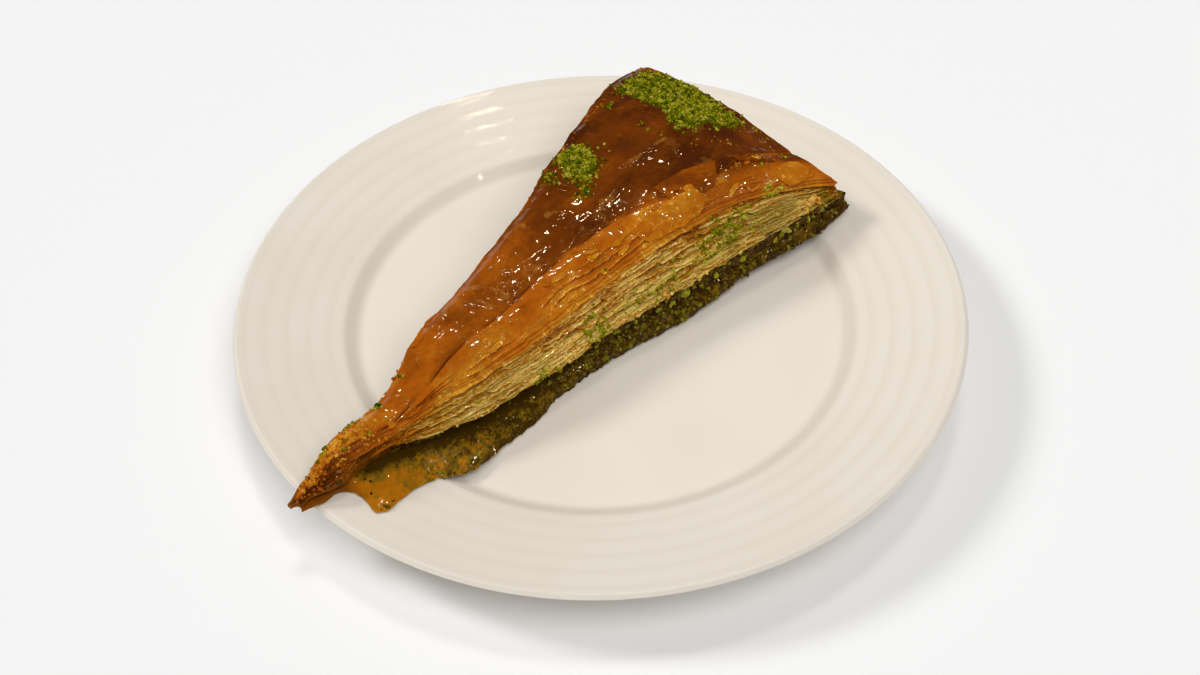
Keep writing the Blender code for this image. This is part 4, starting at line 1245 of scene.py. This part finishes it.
SMALL_FLAKE_LIFT = (0.0001, 0.0007)
SMALL_FLAKE_SLANT = (-0.4, 0.2)
SMALL_FLAKE_BROWNING = (0.32, 0.62)
SMALL_FLAKE_TAPER = 0.9
FLAKE_SEED = 5


def slope_of(distance):
    """The slope's near edge, the crease above it, and half the slice's width."""
    half = near_cut(distance)
    return at_place(TERRACE_INSET, distance) - half, at_place(CREASE_INSET, distance) - half, half


def on_crust(distance, across):
    """Shares along and over the crust's sheet for places in the slice."""
    edge, crease, half = slope_of(distance)
    slope_share = SLOPE_SHARE * (across - edge) / (crease - edge)
    top_share = CREASE_SHARE + (1.0 - CREASE_SHARE) * (across - crease) / (half - crease)
    along = (distance - SLICE_START) / (SLICE_LENGTH - SLICE_START)
    return along, np.where(across < crease, slope_share, np.maximum(top_share, SLOPE_SHARE))


def flake_sheet(corner_places, lifts, taper):
    """One thin sheet over the crust between four corners, with ragged edges, narrower at its ends."""
    flake = block_of_cells(*FLAKE_CELLS, 1)
    along, over, up = unit_places(flake)
    over = 0.5 + (over - 0.5) * (1.0 - taper * (2.0 * along - 1.0) ** 2)
    weights = np.array(((1 - along) * (1 - over), along * (1 - over), along * over, (1 - along) * over))
    distance, across = np.array(corner_places).T @ weights
    lift = np.maximum(np.array(lifts) @ weights + ragged(FLAKE_RIPPLE, distance, across), FLAKE_THICKNESS)
    edge = 2.0 * np.maximum(np.abs(along - 0.5), np.abs(over - 0.5))
    at_edge = edge**FLAKE_RAGGED_POWER
    distance = distance + ragged(FLAKE_RAGGED, distance, across + FLAKE_RAGGED_SHIFT) * at_edge
    across = across + ragged(FLAKE_RAGGED, distance + FLAKE_RAGGED_SHIFT, across) * at_edge
    points = crust_points(*on_crust(distance, across), np.zeros_like(distance), 0.0)[0]
    points[:, 2] += lift - FLAKE_THICKNESS * (1.0 - up)
    move_corners(flake, points)
    return flake


def small_flakes():
    """Corners, lifts, browning and taper of the small flakes on the slope."""
    draws = np.random.default_rng(FLAKE_SEED)
    for _ in range(SMALL_FLAKE_COUNT):
        middle = draws.uniform(*SMALL_FLAKE_PLACES)
        share = draws.uniform(*SMALL_FLAKE_SHARES) / SLOPE_SHARE
        edge = at_place(TERRACE_INSET, middle) * (1.0 - share) + at_place(CREASE_INSET, middle) * share
        side = edge - near_cut(middle)
        half_length = 0.5 * draws.uniform(*SMALL_FLAKE_LENGTH)
        half_width = 0.5 * draws.uniform(*SMALL_FLAKE_WIDTH)
        slant = draws.uniform(*SMALL_FLAKE_SLANT) * half_length
        corners = (
            (middle - half_length, side + half_width - slant),
            (middle + half_length, side + half_width + slant),
            (middle + half_length, side - half_width + slant),
            (middle - half_length, side - half_width - slant),
        )
        lift = draws.uniform(*SMALL_FLAKE_LIFT)
        yield corners, (0.0, 0.0, lift, lift), draws.uniform(*SMALL_FLAKE_BROWNING), SMALL_FLAKE_TAPER


flakes_mesh = bpy.data.meshes.new("lifted_flakes")
shape = bmesh.new()
flake_browning = []
for corner_places, lifts, browning, taper in (*LARGE_FLAKES, *small_flakes()):
    flake = flake_sheet(corner_places, lifts, taper)
    flake_browning += [browning] * len(flake.verts)
    flake.to_mesh(flakes_mesh)
    flake.free()
    shape.from_mesh(flakes_mesh)
places = unit_places(shape).T
flakes = make_piece("lifted_flakes", shape, crust.data.materials[0], FOOD_SHARP_ANGLE)
keep_values(flakes, place=places, browning=flake_browning)
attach(flakes, "root")
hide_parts("top_pastry")

# Ground pistachio
# Finely ground raw pistachio strewn over the finished slice. It lies in two heaps near the tray edge, with a
# thin trail and stray crumbs round them. Single larger bits are given by their place, size and shade.
CRUMB_COUNTS = (3000, 760)
TRIES_EACH = 8
CRUMB_SIZES = (0.00030, 0.00072)
HEAP_EDGE_BLUR = 0.0008
LOOSE_REACH = 0.0014
LOOSE_SHARE = 0.09
LOOSE_MARGIN = 0.006
HEAPED_DEPTH = 0.001
CRUMB_LIFT = (-0.3, 0.6)
LONE_CRUMB_LIFT = 0.2
TRAIL = ((0.155, 0.032), (0.150, 0.027), (0.150, 0.023), (0.152, 0.014), (0.150, 0.010), (0.147, 0.012))
TRAIL_COUNT = 110
TRAIL_WIDTH = 0.0014
STRAYS = (
    (0.2056, 0.0390), (0.2040, 0.0380), (0.1963, 0.0360), (0.1950, 0.0355), (0.1935, 0.0362),
    (0.1896, 0.0150), (0.1900, 0.0100), (0.1905, 0.0190), (0.2080, -0.0020), (0.1990, 0.0010),
    (0.2200, -0.0040), (0.2205, -0.0060), (0.2215, -0.0110), (0.2205, -0.0160), (0.2185, -0.0260),
    (0.0560, 0.0085), (0.0440, 0.0074), (0.0425, 0.0062), (0.0315, 0.0055), (0.0290, 0.0050),
    (0.0165, 0.0022),
)
STRAY_SPREAD = 0.0010
TIP_BITS = (
    (0.0445, 0.0082, 0.00110, 0.00), (0.0428, 0.0075, 0.00085, 0.30), (0.0325, 0.0064, 0.00100, 0.35),
    (0.0305, 0.0060, 0.00090, 0.55), (0.0288, 0.0058, 0.00080, 0.65), (0.0180, 0.0034, 0.00115, 0.30),
    (0.0162, 0.0024, 0.00080, 0.60), (0.0135, 0.0020, 0.00070, 0.20), (0.0560, 0.0098, 0.00075, 0.15),
    (0.0215, -0.0012, 0.00085, 0.50), (0.0240, 0.0005, 0.00060, 0.75), (0.0320, -0.0010, 0.00075, 0.70),
    (0.0085, 0.0012, 0.00060, 0.00), (0.0120, 0.0016, 0.00050, 0.05), (0.1310, -0.0150, 0.00080, 0.35),
)
STRAYS_EACH = 4
CRUMB_LUMPS = (0.8, 0.6)
CRUMB_STRETCH = (0.6, 1.35)
CRUMB_SEED = 23
CRUMB_CLUSTERS = (0.0030, 0.55)
CRUMB_SHADE_SPREAD = 0.24
CRUMB_DARK = (0.022, 0.045, 0.002)
CRUMB_GREEN = (0.118, 0.128, 0.002)
CRUMB_YELLOW = (0.300, 0.275, 0.006)
CRUMB_PALE = (0.480, 0.400, 0.050)
GREEN_SHADES = ((0.0, CRUMB_DARK), (0.35, CRUMB_GREEN), (0.7, CRUMB_YELLOW), (1.0, CRUMB_PALE))
NUT_FLECKS = (1600.0, 0.12)
NUT_BUMP_SCALE = 2600.0
NUT_BUMP = (0.5, 0.0002)
DOWN = Vector((0.0, 0.0, -1.0))
RAY_HEIGHT = 0.2


def surface_of(piece):
    """Search tree over a piece's surface."""
    return BVHTree.FromObject(piece, bpy.context.evaluated_depsgraph_get())


def first_hit(surfaces, start, direction):
    """Nearest hit of a ray on the surfaces: its point and outward direction, or None."""
    hits = [surface.ray_cast(start, direction) for surface in surfaces]
    hits = [hit for hit in hits if hit[0] is not None]
    return min(hits, key=lambda hit: hit[3])[:2] if hits else None


def hit_points(surfaces, starts, direction):
    """Points where rays from the starts first meet the surfaces, and which of the rays meet one."""
    hits = [first_hit(surfaces, Vector(start), direction) for start in starts.tolist()]
    found = np.array([hit is not None for hit in hits])
    return np.array([hit[0][:] for hit in hits if hit]), found


def lay_down(surfaces, places):
    """Points on the surfaces below (distance, across) places, and which of the places have one."""
    starts = set_out(*np.array(places).T, np.zeros(len(places)))
    starts[:, 2] = RAY_HEIGHT
    return hit_points(surfaces, starts, DOWN)


def grain_model(subdivisions, lumps):
    """Corners and faces of one lumpy grain of radius 1."""
    grain = bmesh.new()
    bmesh.ops.create_icosphere(grain, subdivisions=subdivisions, radius=1.0)
    corners = unit_places(grain)
    size, depth = lumps
    corners = corners * (1.0 + bumps(size, depth, *corners))
    return corners.T, np.array([[corner.index for corner in face.verts] for face in grain.faces])


def turns_at_random(draws, count):
    """Rotation matrices in every direction."""
    w, x, y, z = draws.normal(size=(4, count))
    length = np.sqrt(w * w + x * x + y * y + z * z)
    w, x, y, z = w / length, x / length, y / length, z / length
    rows = (
        (1 - 2 * (y * y + z * z), 2 * (x * y - z * w), 2 * (x * z + y * w)),
        (2 * (x * y + z * w), 1 - 2 * (x * x + z * z), 2 * (y * z - x * w)),
        (2 * (x * z - y * w), 2 * (y * z + x * w), 1 - 2 * (x * x + y * y)),
    )
    return np.array(rows).transpose(2, 0, 1)


def make_grains(name, model, grains, stretch, paint, draws):
    """Joins turned and stretched copies of a grain, one for each of the grains' spots, sizes and shades."""
    corners, faces = model
    spots, sizes, shades = grains
    count = len(spots)
    stretched = corners[None] * (sizes[:, None] * draws.uniform(*stretch, (count, 3)))[:, None]
    turned_corners = np.einsum("nij,nkj->nki", turns_at_random(draws, count), stretched)
    points = (turned_corners + spots[:, None]).reshape(-1, 3)
    joined = (faces[None] + len(corners) * np.arange(count)[:, None, None]).reshape(-1, 3)
    mesh = bpy.data.meshes.new(name)
    mesh.from_pydata(points.tolist(), [], joined.tolist())
    mesh.materials.append(paint)
    piece = bpy.data.objects.new(name, mesh)
    bpy.context.scene.collection.objects.link(piece)
    keep_values(piece, shade=np.repeat(shades, len(corners)), place=points)
    return piece


def lone_grains(surfaces, rows):
    """Spots, sizes and shades of single grains, each given by its place, size and shade."""
    spots, found = lay_down(surfaces, [row[:2] for row in rows])
    return (spots, *np.array(rows)[found, 2:].T)


def joined_grains(*groups):
    """Joins groups of spots, sizes and shades."""
    return [np.concatenate(rows) for rows in zip(*groups)]


def strewn_grains(draws):
    """Spots, sizes and shades of the ground pistachio on the crust."""
    rows = []
    for outline, count in zip(HEAP_OUTLINES, CRUMB_COUNTS):
        low, high = np.min(outline, axis=0), np.max(outline, axis=0)
        tries = draws.uniform(low - LOOSE_MARGIN, high + LOOSE_MARGIN, (TRIES_EACH * count, 2))
        depth = powder_depth(*tries.T)
        rows.append(tries[depth > HEAP_EDGE_BLUR * draws.normal(size=len(tries))][:count])
        loose = tries[(depth < 0.0) & (depth > -LOOSE_REACH * draws.exponential(size=len(tries)))]
        rows.append(loose[: int(LOOSE_SHARE * count)])
    marks = np.linspace(0.0, 1.0, len(TRAIL))
    share = draws.uniform(0.0, 1.0, TRAIL_COUNT)
    trail = np.column_stack([np.interp(share, marks, row) for row in zip(*TRAIL)])
    rows.append(trail + TRAIL_WIDTH * draws.normal(size=trail.shape))
    strays = np.repeat(STRAYS, STRAYS_EACH, axis=0)
    rows.append(strays + STRAY_SPREAD * draws.normal(size=strays.shape))
    places = np.concatenate(rows)
    spots, found = lay_down([crust_surface], places)
    places = places[found]
    sizes = draws.uniform(*CRUMB_SIZES, len(places))
    heaped = powder_depth(*places.T) > HEAPED_DEPTH
    spots[:, 2] += sizes * np.where(heaped, draws.uniform(*CRUMB_LIFT, len(places)), LONE_CRUMB_LIFT)
    shades = 0.5 + bumps(*CRUMB_CLUSTERS, *places.T) + CRUMB_SHADE_SPREAD * draws.normal(size=len(places))
    return spots, sizes, np.clip(shades, 0.0, 1.0)


def nut_paint(name, stops, coat):
    """Nut meat, each grain in its own shade, slightly mottled and rough."""
    finish = {"Specular IOR Level": 0.0, "Coat Weight": coat, "Coat Roughness": 0.08, "Roughness": 0.6}
    paint, tree, shader = new_paint(name, finish)
    places = kept_value(tree, "place", "Vector")
    shade = math_of(tree, "ADD", kept_value(tree, "shade"), mottle(tree, places, *NUT_FLECKS), clamped=True)
    relief = bump_of(tree, speckle(tree, places, NUT_BUMP_SCALE), *NUT_BUMP)
    feed(tree, shader, {"Base Color": ramp_of(tree, shade, stops), "Normal": relief})
    return paint


crust_surface = surface_of(crust)
draws = np.random.default_rng(CRUMB_SEED)
green_paint = nut_paint("ground_pistachio", GREEN_SHADES, 0.0)
crumb_model = grain_model(1, CRUMB_LUMPS)
grains = joined_grains(strewn_grains(draws), lone_grains([crust_surface], TIP_BITS))
crumbs = make_grains("ground_pistachio", crumb_model, grains, CRUMB_STRETCH, green_paint, draws)
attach(crumbs, "root")
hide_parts("top_pastry")

# Fallen pistachio
# The little of the ground pistachio that has fallen down the near cut and stuck there. A row gives an area's
# middle and half length as shares of the side, its height and half height, the number of grains, and the
# least and greatest of their sizes and shades.
FACE_CRUMBS = (
    (0.500, 0.010, 0.0150, 0.0026, 90, 0.0004, 0.0010, 0.40, 1.00),
    (0.599, 0.018, 0.0165, 0.0017, 60, 0.0004, 0.0009, 0.45, 1.00),
    (0.647, 0.014, 0.0170, 0.0017, 50, 0.0004, 0.0009, 0.45, 1.00),
    (0.716, 0.015, 0.0185, 0.0020, 90, 0.0004, 0.0010, 0.30, 1.00),
    (0.754, 0.013, 0.0205, 0.0020, 90, 0.0004, 0.0010, 0.25, 1.00),
    (0.797, 0.016, 0.0200, 0.0018, 64, 0.0004, 0.0009, 0.45, 1.00),
    (0.870, 0.012, 0.0220, 0.0012, 44, 0.0004, 0.0008, 0.60, 1.00),
    (0.388, 0.009, 0.0115, 0.0022, 50, 0.0004, 0.0010, 0.40, 1.00),
    (0.552, 0.216, 0.0140, 0.0035, 120, 0.0003, 0.0006, 0.50, 1.00),
    (0.147, 0.052, 0.0080, 0.0020, 34, 0.0003, 0.0006, 0.10, 0.80),
)
NEAR_SIDE = ((SLICE_START, -1.0), (SLICE_LENGTH, -1.0))
RAY_START = 0.060


def lay_on_side(surfaces, side, shares, heights):
    """Points where level rays meet a side of the slice, and which of the rays meet it.

    A side is its two ends' (distance, share of the half width), seen with the slice on its left.
    """
    (start, start_side), (end, end_side) = side
    distance = start + (end - start) * shares
    across = near_cut(distance) * (start_side + (end_side - start_side) * shares)
    ends = np.array((start, end))
    ends = set_out(ends, near_cut(ends) * (start_side, end_side), np.zeros(2))
    run = Vector(ends[1] - ends[0])
    inward = Vector((-run.y, run.x, 0.0)).normalized()
    starts = set_out(distance, across, heights) - RAY_START * np.array(inward)
    return hit_points(surfaces, starts, inward)


def side_grains(draws, surfaces, side, rows):
    """Spots, sizes and shades of the grains in areas of a side."""
    areas = []
    for middle, half_length, level, half_height, count, small, large, dark, pale in rows:
        shares = np.clip(draws.normal(middle, half_length, count), 0.0, 1.0)
        spots, found = lay_on_side(surfaces, side, shares, draws.normal(level, half_height, count))
        sizes = draws.uniform(small, large, found.sum())
        areas.append((spots, sizes, draws.uniform(dark, pale, found.sum())))
    return joined_grains(*areas)


stack_surface = surface_of(stack)
grains = side_grains(draws, [stack_surface, crust_surface], NEAR_SIDE, FACE_CRUMBS)
face_crumbs = make_grains("fallen_pistachio", crumb_model, grains, CRUMB_STRETCH, green_paint, draws)
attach(face_crumbs, "root")
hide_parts("top_pastry")

# Crumbs of pastry
# Crumbs that fell off the baked sheets when the slice was cut. They lie thickest over the tip and hang along
# the lower edge of the pale sheets and along the far edge of the crust.
PASTRY_CRUMB_AREAS = (
    (0.004, 0.036, -0.60, 0.85, 240, 0.24, 0.62), (0.090, 0.226, 0.93, 0.97, 90, 0.35, 0.95),
    (0.036, 0.080, 0.86, 0.96, 40, 0.30, 0.80),
)
PASTRY_CRUMB_ROWS = (
    (0.060, 0.035, 0.0050, 0.0024, 150, 0.0003, 0.0007, 0.50, 0.80),
    (0.300, 0.060, 0.0105, 0.0010, 36, 0.0003, 0.0008, 0.00, 0.35),
    (0.480, 0.080, 0.0122, 0.0012, 44, 0.0003, 0.0009, 0.00, 0.30),
    (0.640, 0.060, 0.0128, 0.0014, 44, 0.0003, 0.0009, 0.00, 0.25),
    (0.820, 0.070, 0.0130, 0.0016, 36, 0.0003, 0.0008, 0.00, 0.40),
    (0.925, 0.010, 0.0120, 0.0010, 9, 0.0010, 0.0017, 0.10, 0.30),
)
PASTRY_CRUMB_SIZES = (0.0003, 0.0007)
PASTRY_CRUMB_COAT = 0.5

pastry_crumb_paint = nut_paint("baked_crumbs", BAKED_COLOURS, PASTRY_CRUMB_COAT)
areas = [side_grains(draws, [stack_surface, crust_surface], NEAR_SIDE, PASTRY_CRUMB_ROWS)]
for low, high, low_share, high_share, count, pale, dark in PASTRY_CRUMB_AREAS:
    distance = draws.uniform(low, high, count)
    across = draws.uniform(low_share, high_share, count) * near_cut(distance)
    spots, found = lay_down([crust_surface], np.column_stack((distance, across)))
    sizes = draws.uniform(*PASTRY_CRUMB_SIZES, found.sum())
    areas.append((spots, sizes, draws.uniform(pale, dark, found.sum())))
grains = joined_grains(*areas)
pastry_crumbs = make_grains("pastry_crumbs", crumb_model, grains, CRUMB_STRETCH, pastry_crumb_paint, draws)
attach(pastry_crumbs, "root")
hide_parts("top_pastry")

# Nut bits in the cut
# Larger bits of pistachio that stick out of the filling, dark and wet with syrup. They were cut through with
# the slice, so they stand along the near cut, the tray edge and the far cut.
FILLING_BIT_ROWS = (
    (0.315, 0.065, 0.0075, 0.0014, 50, 0.0004, 0.0011, 0.0, 0.8),
    (0.487, 0.065, 0.0085, 0.0014, 60, 0.0004, 0.0011, 0.0, 0.8),
    (0.659, 0.026, 0.0080, 0.0010, 22, 0.0006, 0.0014, 0.3, 0.9),
    (0.702, 0.108, 0.0085, 0.0014, 90, 0.0004, 0.0011, 0.0, 0.8),
    (0.922, 0.034, 0.0070, 0.0014, 40, 0.0005, 0.0012, 0.2, 1.0),
)
HIDDEN_FILLING_ROWS = ((0.50, 0.28, 0.0085, 0.0014, 170, 0.0004, 0.0011, 0.0, 0.8),)
TRAY_SIDE = ((SLICE_LENGTH, -1.0), (SLICE_LENGTH, 1.0))
FAR_SIDE = ((SLICE_LENGTH, 1.0), (SLICE_START, 1.0))
BIT_DARK = (0.030, 0.014, 0.002)
BIT_BROWN = (0.100, 0.050, 0.004)
BIT_GREEN = (0.200, 0.190, 0.006)
BIT_PALE = (0.450, 0.320, 0.070)
BIT_SHADES = ((0.0, BIT_DARK), (0.4, BIT_BROWN), (0.75, BIT_GREEN), (1.0, BIT_PALE))
BIT_COAT = 0.3
BIT_LUMPS = (0.8, 0.75)
BIT_STRETCH = (0.5, 1.3)

bit_paint = nut_paint("soaked_bits", BIT_SHADES, BIT_COAT)
bit_model = grain_model(1, BIT_LUMPS)
filling_surface = surface_of(filling)
grains = joined_grains(
    side_grains(draws, [filling_surface], NEAR_SIDE, FILLING_BIT_ROWS),
    side_grains(draws, [filling_surface], TRAY_SIDE, HIDDEN_FILLING_ROWS),
    side_grains(draws, [filling_surface], FAR_SIDE, HIDDEN_FILLING_ROWS),
)
filling_bits = make_grains("nut_bits", bit_model, grains, BIT_STRETCH, bit_paint, draws)
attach(filling_bits, "root")
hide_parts("pistachio_filling")

# Green chunks
# The largest bits of pistachio on the near cut, which the syrup has left green. Each one is given by its
# share of the side, its height, its size and its shade.
CHUNKS = (
    (0.669, 0.0072, 0.0019, 0.82), (0.644, 0.0050, 0.0012, 0.80), (0.782, 0.0072, 0.0012, 0.70),
    (0.850, 0.0060, 0.0010, 0.80), (0.875, 0.0075, 0.0014, 0.95), (0.862, 0.0068, 0.0012, 0.55),
    (0.416, 0.0100, 0.0015, 0.90), (0.429, 0.0060, 0.0015, 0.83), (0.408, 0.0085, 0.0010, 0.88),
    (0.729, 0.0070, 0.0011, 0.78), (0.700, 0.0065, 0.0009, 0.97), (0.574, 0.0070, 0.0010, 0.79),
    (0.540, 0.0080, 0.0010, 0.50), (0.499, 0.0070, 0.0010, 0.77), (0.915, 0.0070, 0.0012, 0.95),
    (0.335, 0.0075, 0.0010, 0.55), (0.285, 0.0075, 0.0009, 0.95),
)
CHUNK_LUMPS = (1.0, 0.85)
CHUNK_STRETCH = (0.6, 1.3)

bottom_surface = surface_of(bottom)
cut_surfaces = [filling_surface, bottom_surface, stack_surface]
spots, found = lay_on_side(cut_surfaces, NEAR_SIDE, *np.array(CHUNKS).T[:2])
grains = (spots, *np.array(CHUNKS)[found, 2:].T)
chunks = make_grains("nut_chunks", grain_model(3, CHUNK_LUMPS), grains, CHUNK_STRETCH, green_paint, draws)
chunks.data.shade_smooth()
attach(chunks, "root")
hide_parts("pistachio_filling")

# Crumbs on the bottom sheets
# Fine soaked crumbs of pistachio and pastry that stick along the bottom sheets' edges, and single larger ones
# on the tongue, each given by its place, size and shade.
BOTTOM_BIT_ROWS = (
    (0.336, 0.065, 0.0026, 0.0014, 120, 0.0002, 0.0006, 0.25, 0.60),
    (0.509, 0.086, 0.0030, 0.0014, 260, 0.0003, 0.0010, 0.0, 0.80),
    (0.746, 0.130, 0.0030, 0.0014, 400, 0.0003, 0.0011, 0.0, 0.80),
    (0.198, 0.026, 0.0018, 0.0008, 20, 0.0003, 0.0006, 0.30, 0.80),
)
HIDDEN_BOTTOM_ROWS = ((0.50, 0.28, 0.0030, 0.0014, 420, 0.0002, 0.0008, 0.0, 0.55),)
BOTTOM_SPOTS = (
    (0.0468, -0.0190, 0.00125, 0.72), (0.0440, -0.0165, 0.00090, 1.00), (0.0500, -0.0212, 0.00070, 0.32),
    (0.0512, -0.0222, 0.00065, 0.32), (0.0530, -0.0220, 0.00050, 0.40), (0.0272, -0.0185, 0.00060, 0.35),
    (0.0280, -0.0194, 0.00080, 0.45), (0.0262, -0.0190, 0.00050, 0.32), (0.0300, -0.0188, 0.00050, 0.30),
    (0.0250, -0.0150, 0.00040, 0.60), (0.0370, -0.0160, 0.00045, 0.60), (0.0610, -0.0230, 0.00080, 0.75),
)

grains = joined_grains(
    lone_grains([bottom_surface], BOTTOM_SPOTS),
    side_grains(draws, [bottom_surface], NEAR_SIDE, BOTTOM_BIT_ROWS),
    side_grains(draws, [bottom_surface], TRAY_SIDE, HIDDEN_BOTTOM_ROWS),
    side_grains(draws, [bottom_surface], FAR_SIDE, HIDDEN_BOTTOM_ROWS),
)
bottom_bits = make_grains("bottom_crumbs", bit_model, grains, BIT_STRETCH, bit_paint, draws)
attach(bottom_bits, "root")
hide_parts("bottom_pastry")

# Syrup drops
# Small drops of clear sugar syrup that stand on the crust, mostly on the slope, in clusters. A row gives the
# least and greatest distance from the tip, the same for the share over the crust, and the most drops.
DROP_ROWS = (
    (0.040, 0.215, 0.02, 0.34, 420), (0.060, 0.110, 0.42, 0.80, 60), (0.180, 0.228, 0.30, 0.55, 60),
)
DROP_TRIES_EACH = 3
DROP_SIZES = (0.00020, 0.00045)
DROP_CLUSTER_SIZE = 0.0090
DROP_CLUSTERING = (-0.10, 0.25)
DROP_LUMPS = (1.0, 0.1)
DROP_STRETCH = (0.8, 1.3)
SYRUP_COLOUR = (0.450, 0.170, 0.010)


def syrup_paint():
    """Clear amber syrup."""
    finish = {
        "Base Color": (*SYRUP_COLOUR, 1.0),
        "Roughness": 0.2,
        "Specular IOR Level": 0.3,
        "Coat Weight": 1.0,
        "Coat Roughness": 0.1,
    }
    return new_paint("amber_syrup", finish)[0]


def drop_places(draws):
    """(distance, across) places of the drops, in clusters on the crust."""
    rows = []
    for low, high, low_share, high_share, count in DROP_ROWS:
        tries = DROP_TRIES_EACH * count
        distance = draws.uniform(low, high, tries)
        share = draws.uniform(low_share, high_share, tries)
        edge, crease, half = slope_of(distance)
        on_slope = edge + (crease - edge) * np.minimum(share / SLOPE_SHARE, 1.0)
        across = on_slope + (half - on_slope) * np.maximum(share - SLOPE_SHARE, 0.0) / (1.0 - SLOPE_SHARE)
        chance = smoothstep(*DROP_CLUSTERING, bumps(DROP_CLUSTER_SIZE, 1.0, distance, across))
        kept = draws.uniform(size=tries) < chance
        rows.append(np.column_stack((distance, across))[kept][:count])
    return np.concatenate(rows)


spots, found = lay_down([crust_surface], drop_places(draws))
grains = (spots, draws.uniform(*DROP_SIZES, len(spots)), np.zeros(len(spots)))
drops = make_grains("syrup_drops", grain_model(1, DROP_LUMPS), grains, DROP_STRETCH, syrup_paint(), draws)
drops.data.shade_smooth()
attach(drops, "root")
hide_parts("top_pastry")

# Floor, light and camera
# A plain pale floor under the plate, and the photograph's camera. Four soft suns light the food from the
# front, the left, above and behind. Six small warm lamps only show as glints in the syrup and the glaze.
FLOOR_SIZE = 60.0
FLOOR_COLOUR = (0.90, 0.90, 0.90)
FLOOR_ROUGHNESS = 0.9
SKY_COLOUR = (1.0, 1.0, 1.0, 1.0)
SKY_STRENGTH = 0.07
LAMP_COLOUR = (1.0, 0.80, 0.52)
SUNS = (
    ("front", -62.0, 60.0, 45.0, 1.70),
    ("left", 160.0, 38.0, 14.0, 1.25),
    ("above", 90.0, 85.0, 120.0, 0.37),
    ("back", 82.0, 66.0, 10.0, 0.40),
)
LAMPS = (
    ("back_lamp", 82.0, 62.0, 2.0, 0.30),
    ("high_lamp", 60.0, 76.0, 2.0, 0.30),
    ("right_lamp", 36.0, 58.0, 2.0, 0.34),
    ("side_lamp", 128.0, 54.0, 2.0, 0.26),
    ("slope_lamp", -15.0, 62.0, 2.0, 0.55),
    ("low_lamp", 8.0, 50.0, 2.0, 0.45),
)
CAMERA_LENS = 45.0
CAMERA_SENSOR = 36.0
CAMERA_CLIP_START = 0.01
CAMERA_ELEVATION = 0.8049
CAMERA_ROLL = -0.0316
CAMERA_DISTANCE = 4.0012 * PLATE_RADIUS
CAMERA_TARGET = Vector((-0.002 * PLATE_RADIUS, -0.1758 * PLATE_RADIUS, PLATE_HEIGHT))

shape = bmesh.new()
bmesh.ops.create_grid(shape, x_segments=1, y_segments=1, size=0.5 * FLOOR_SIZE)
floor_finish = {"Base Color": (*FLOOR_COLOUR, 1.0), "Roughness": FLOOR_ROUGHNESS}
floor = make_piece("pale_floor", shape, new_paint("pale_floor", floor_finish)[0], FOOD_SHARP_ANGLE)

world = bpy.data.worlds.new("soft_studio")
world.use_nodes = True
sky = world.node_tree.nodes["Background"]
sky.inputs["Color"].default_value = SKY_COLOUR
sky.inputs["Strength"].default_value = SKY_STRENGTH
bpy.context.scene.world = world
bpy.context.scene.view_settings.view_transform = "Standard"


def add_light(name, azimuth, elevation, softness, strength):
    """Distant light from an azimuth and elevation, as wide in the sky as its softness, all in degrees."""
    light = bpy.data.lights.new(name, "SUN")
    light.energy = strength
    light.angle = math.radians(softness)
    level = math.cos(math.radians(elevation))
    turn = math.radians(azimuth)
    towards = Vector((level * math.cos(turn), level * math.sin(turn), math.sin(math.radians(elevation))))
    sun = bpy.data.objects.new(name, light)
    sun.rotation_mode = "QUATERNION"
    sun.rotation_quaternion = towards.to_track_quat("Z", "Y")
    sun.location = towards
    bpy.context.scene.collection.objects.link(sun)
    return sun


for row in SUNS:
    add_light(*row).visible_glossy = False
for row in LAMPS:
    lamp = add_light(*row)
    lamp.data.color = LAMP_COLOUR
    lamp.visible_diffuse = False

camera_data = bpy.data.cameras.new("camera")
camera_data.lens = CAMERA_LENS
camera_data.sensor_width = CAMERA_SENSOR
camera_data.clip_start = CAMERA_CLIP_START
camera = bpy.data.objects.new("camera", camera_data)
camera_back = Vector((0.0, -math.cos(CAMERA_ELEVATION), math.sin(CAMERA_ELEVATION)))
camera_up = camera_back.cross(Vector((1.0, 0.0, 0.0)))
upright = Matrix(((1.0, 0.0, 0.0), camera_up, camera_back)).transposed()
camera.matrix_world = (upright @ Matrix.Rotation(CAMERA_ROLL, 3, "Z")).to_4x4()
camera.location = CAMERA_TARGET + camera_back * CAMERA_DISTANCE
bpy.context.scene.collection.objects.link(camera)
bpy.context.scene.camera = camera

bpy.context.view_layer.update()
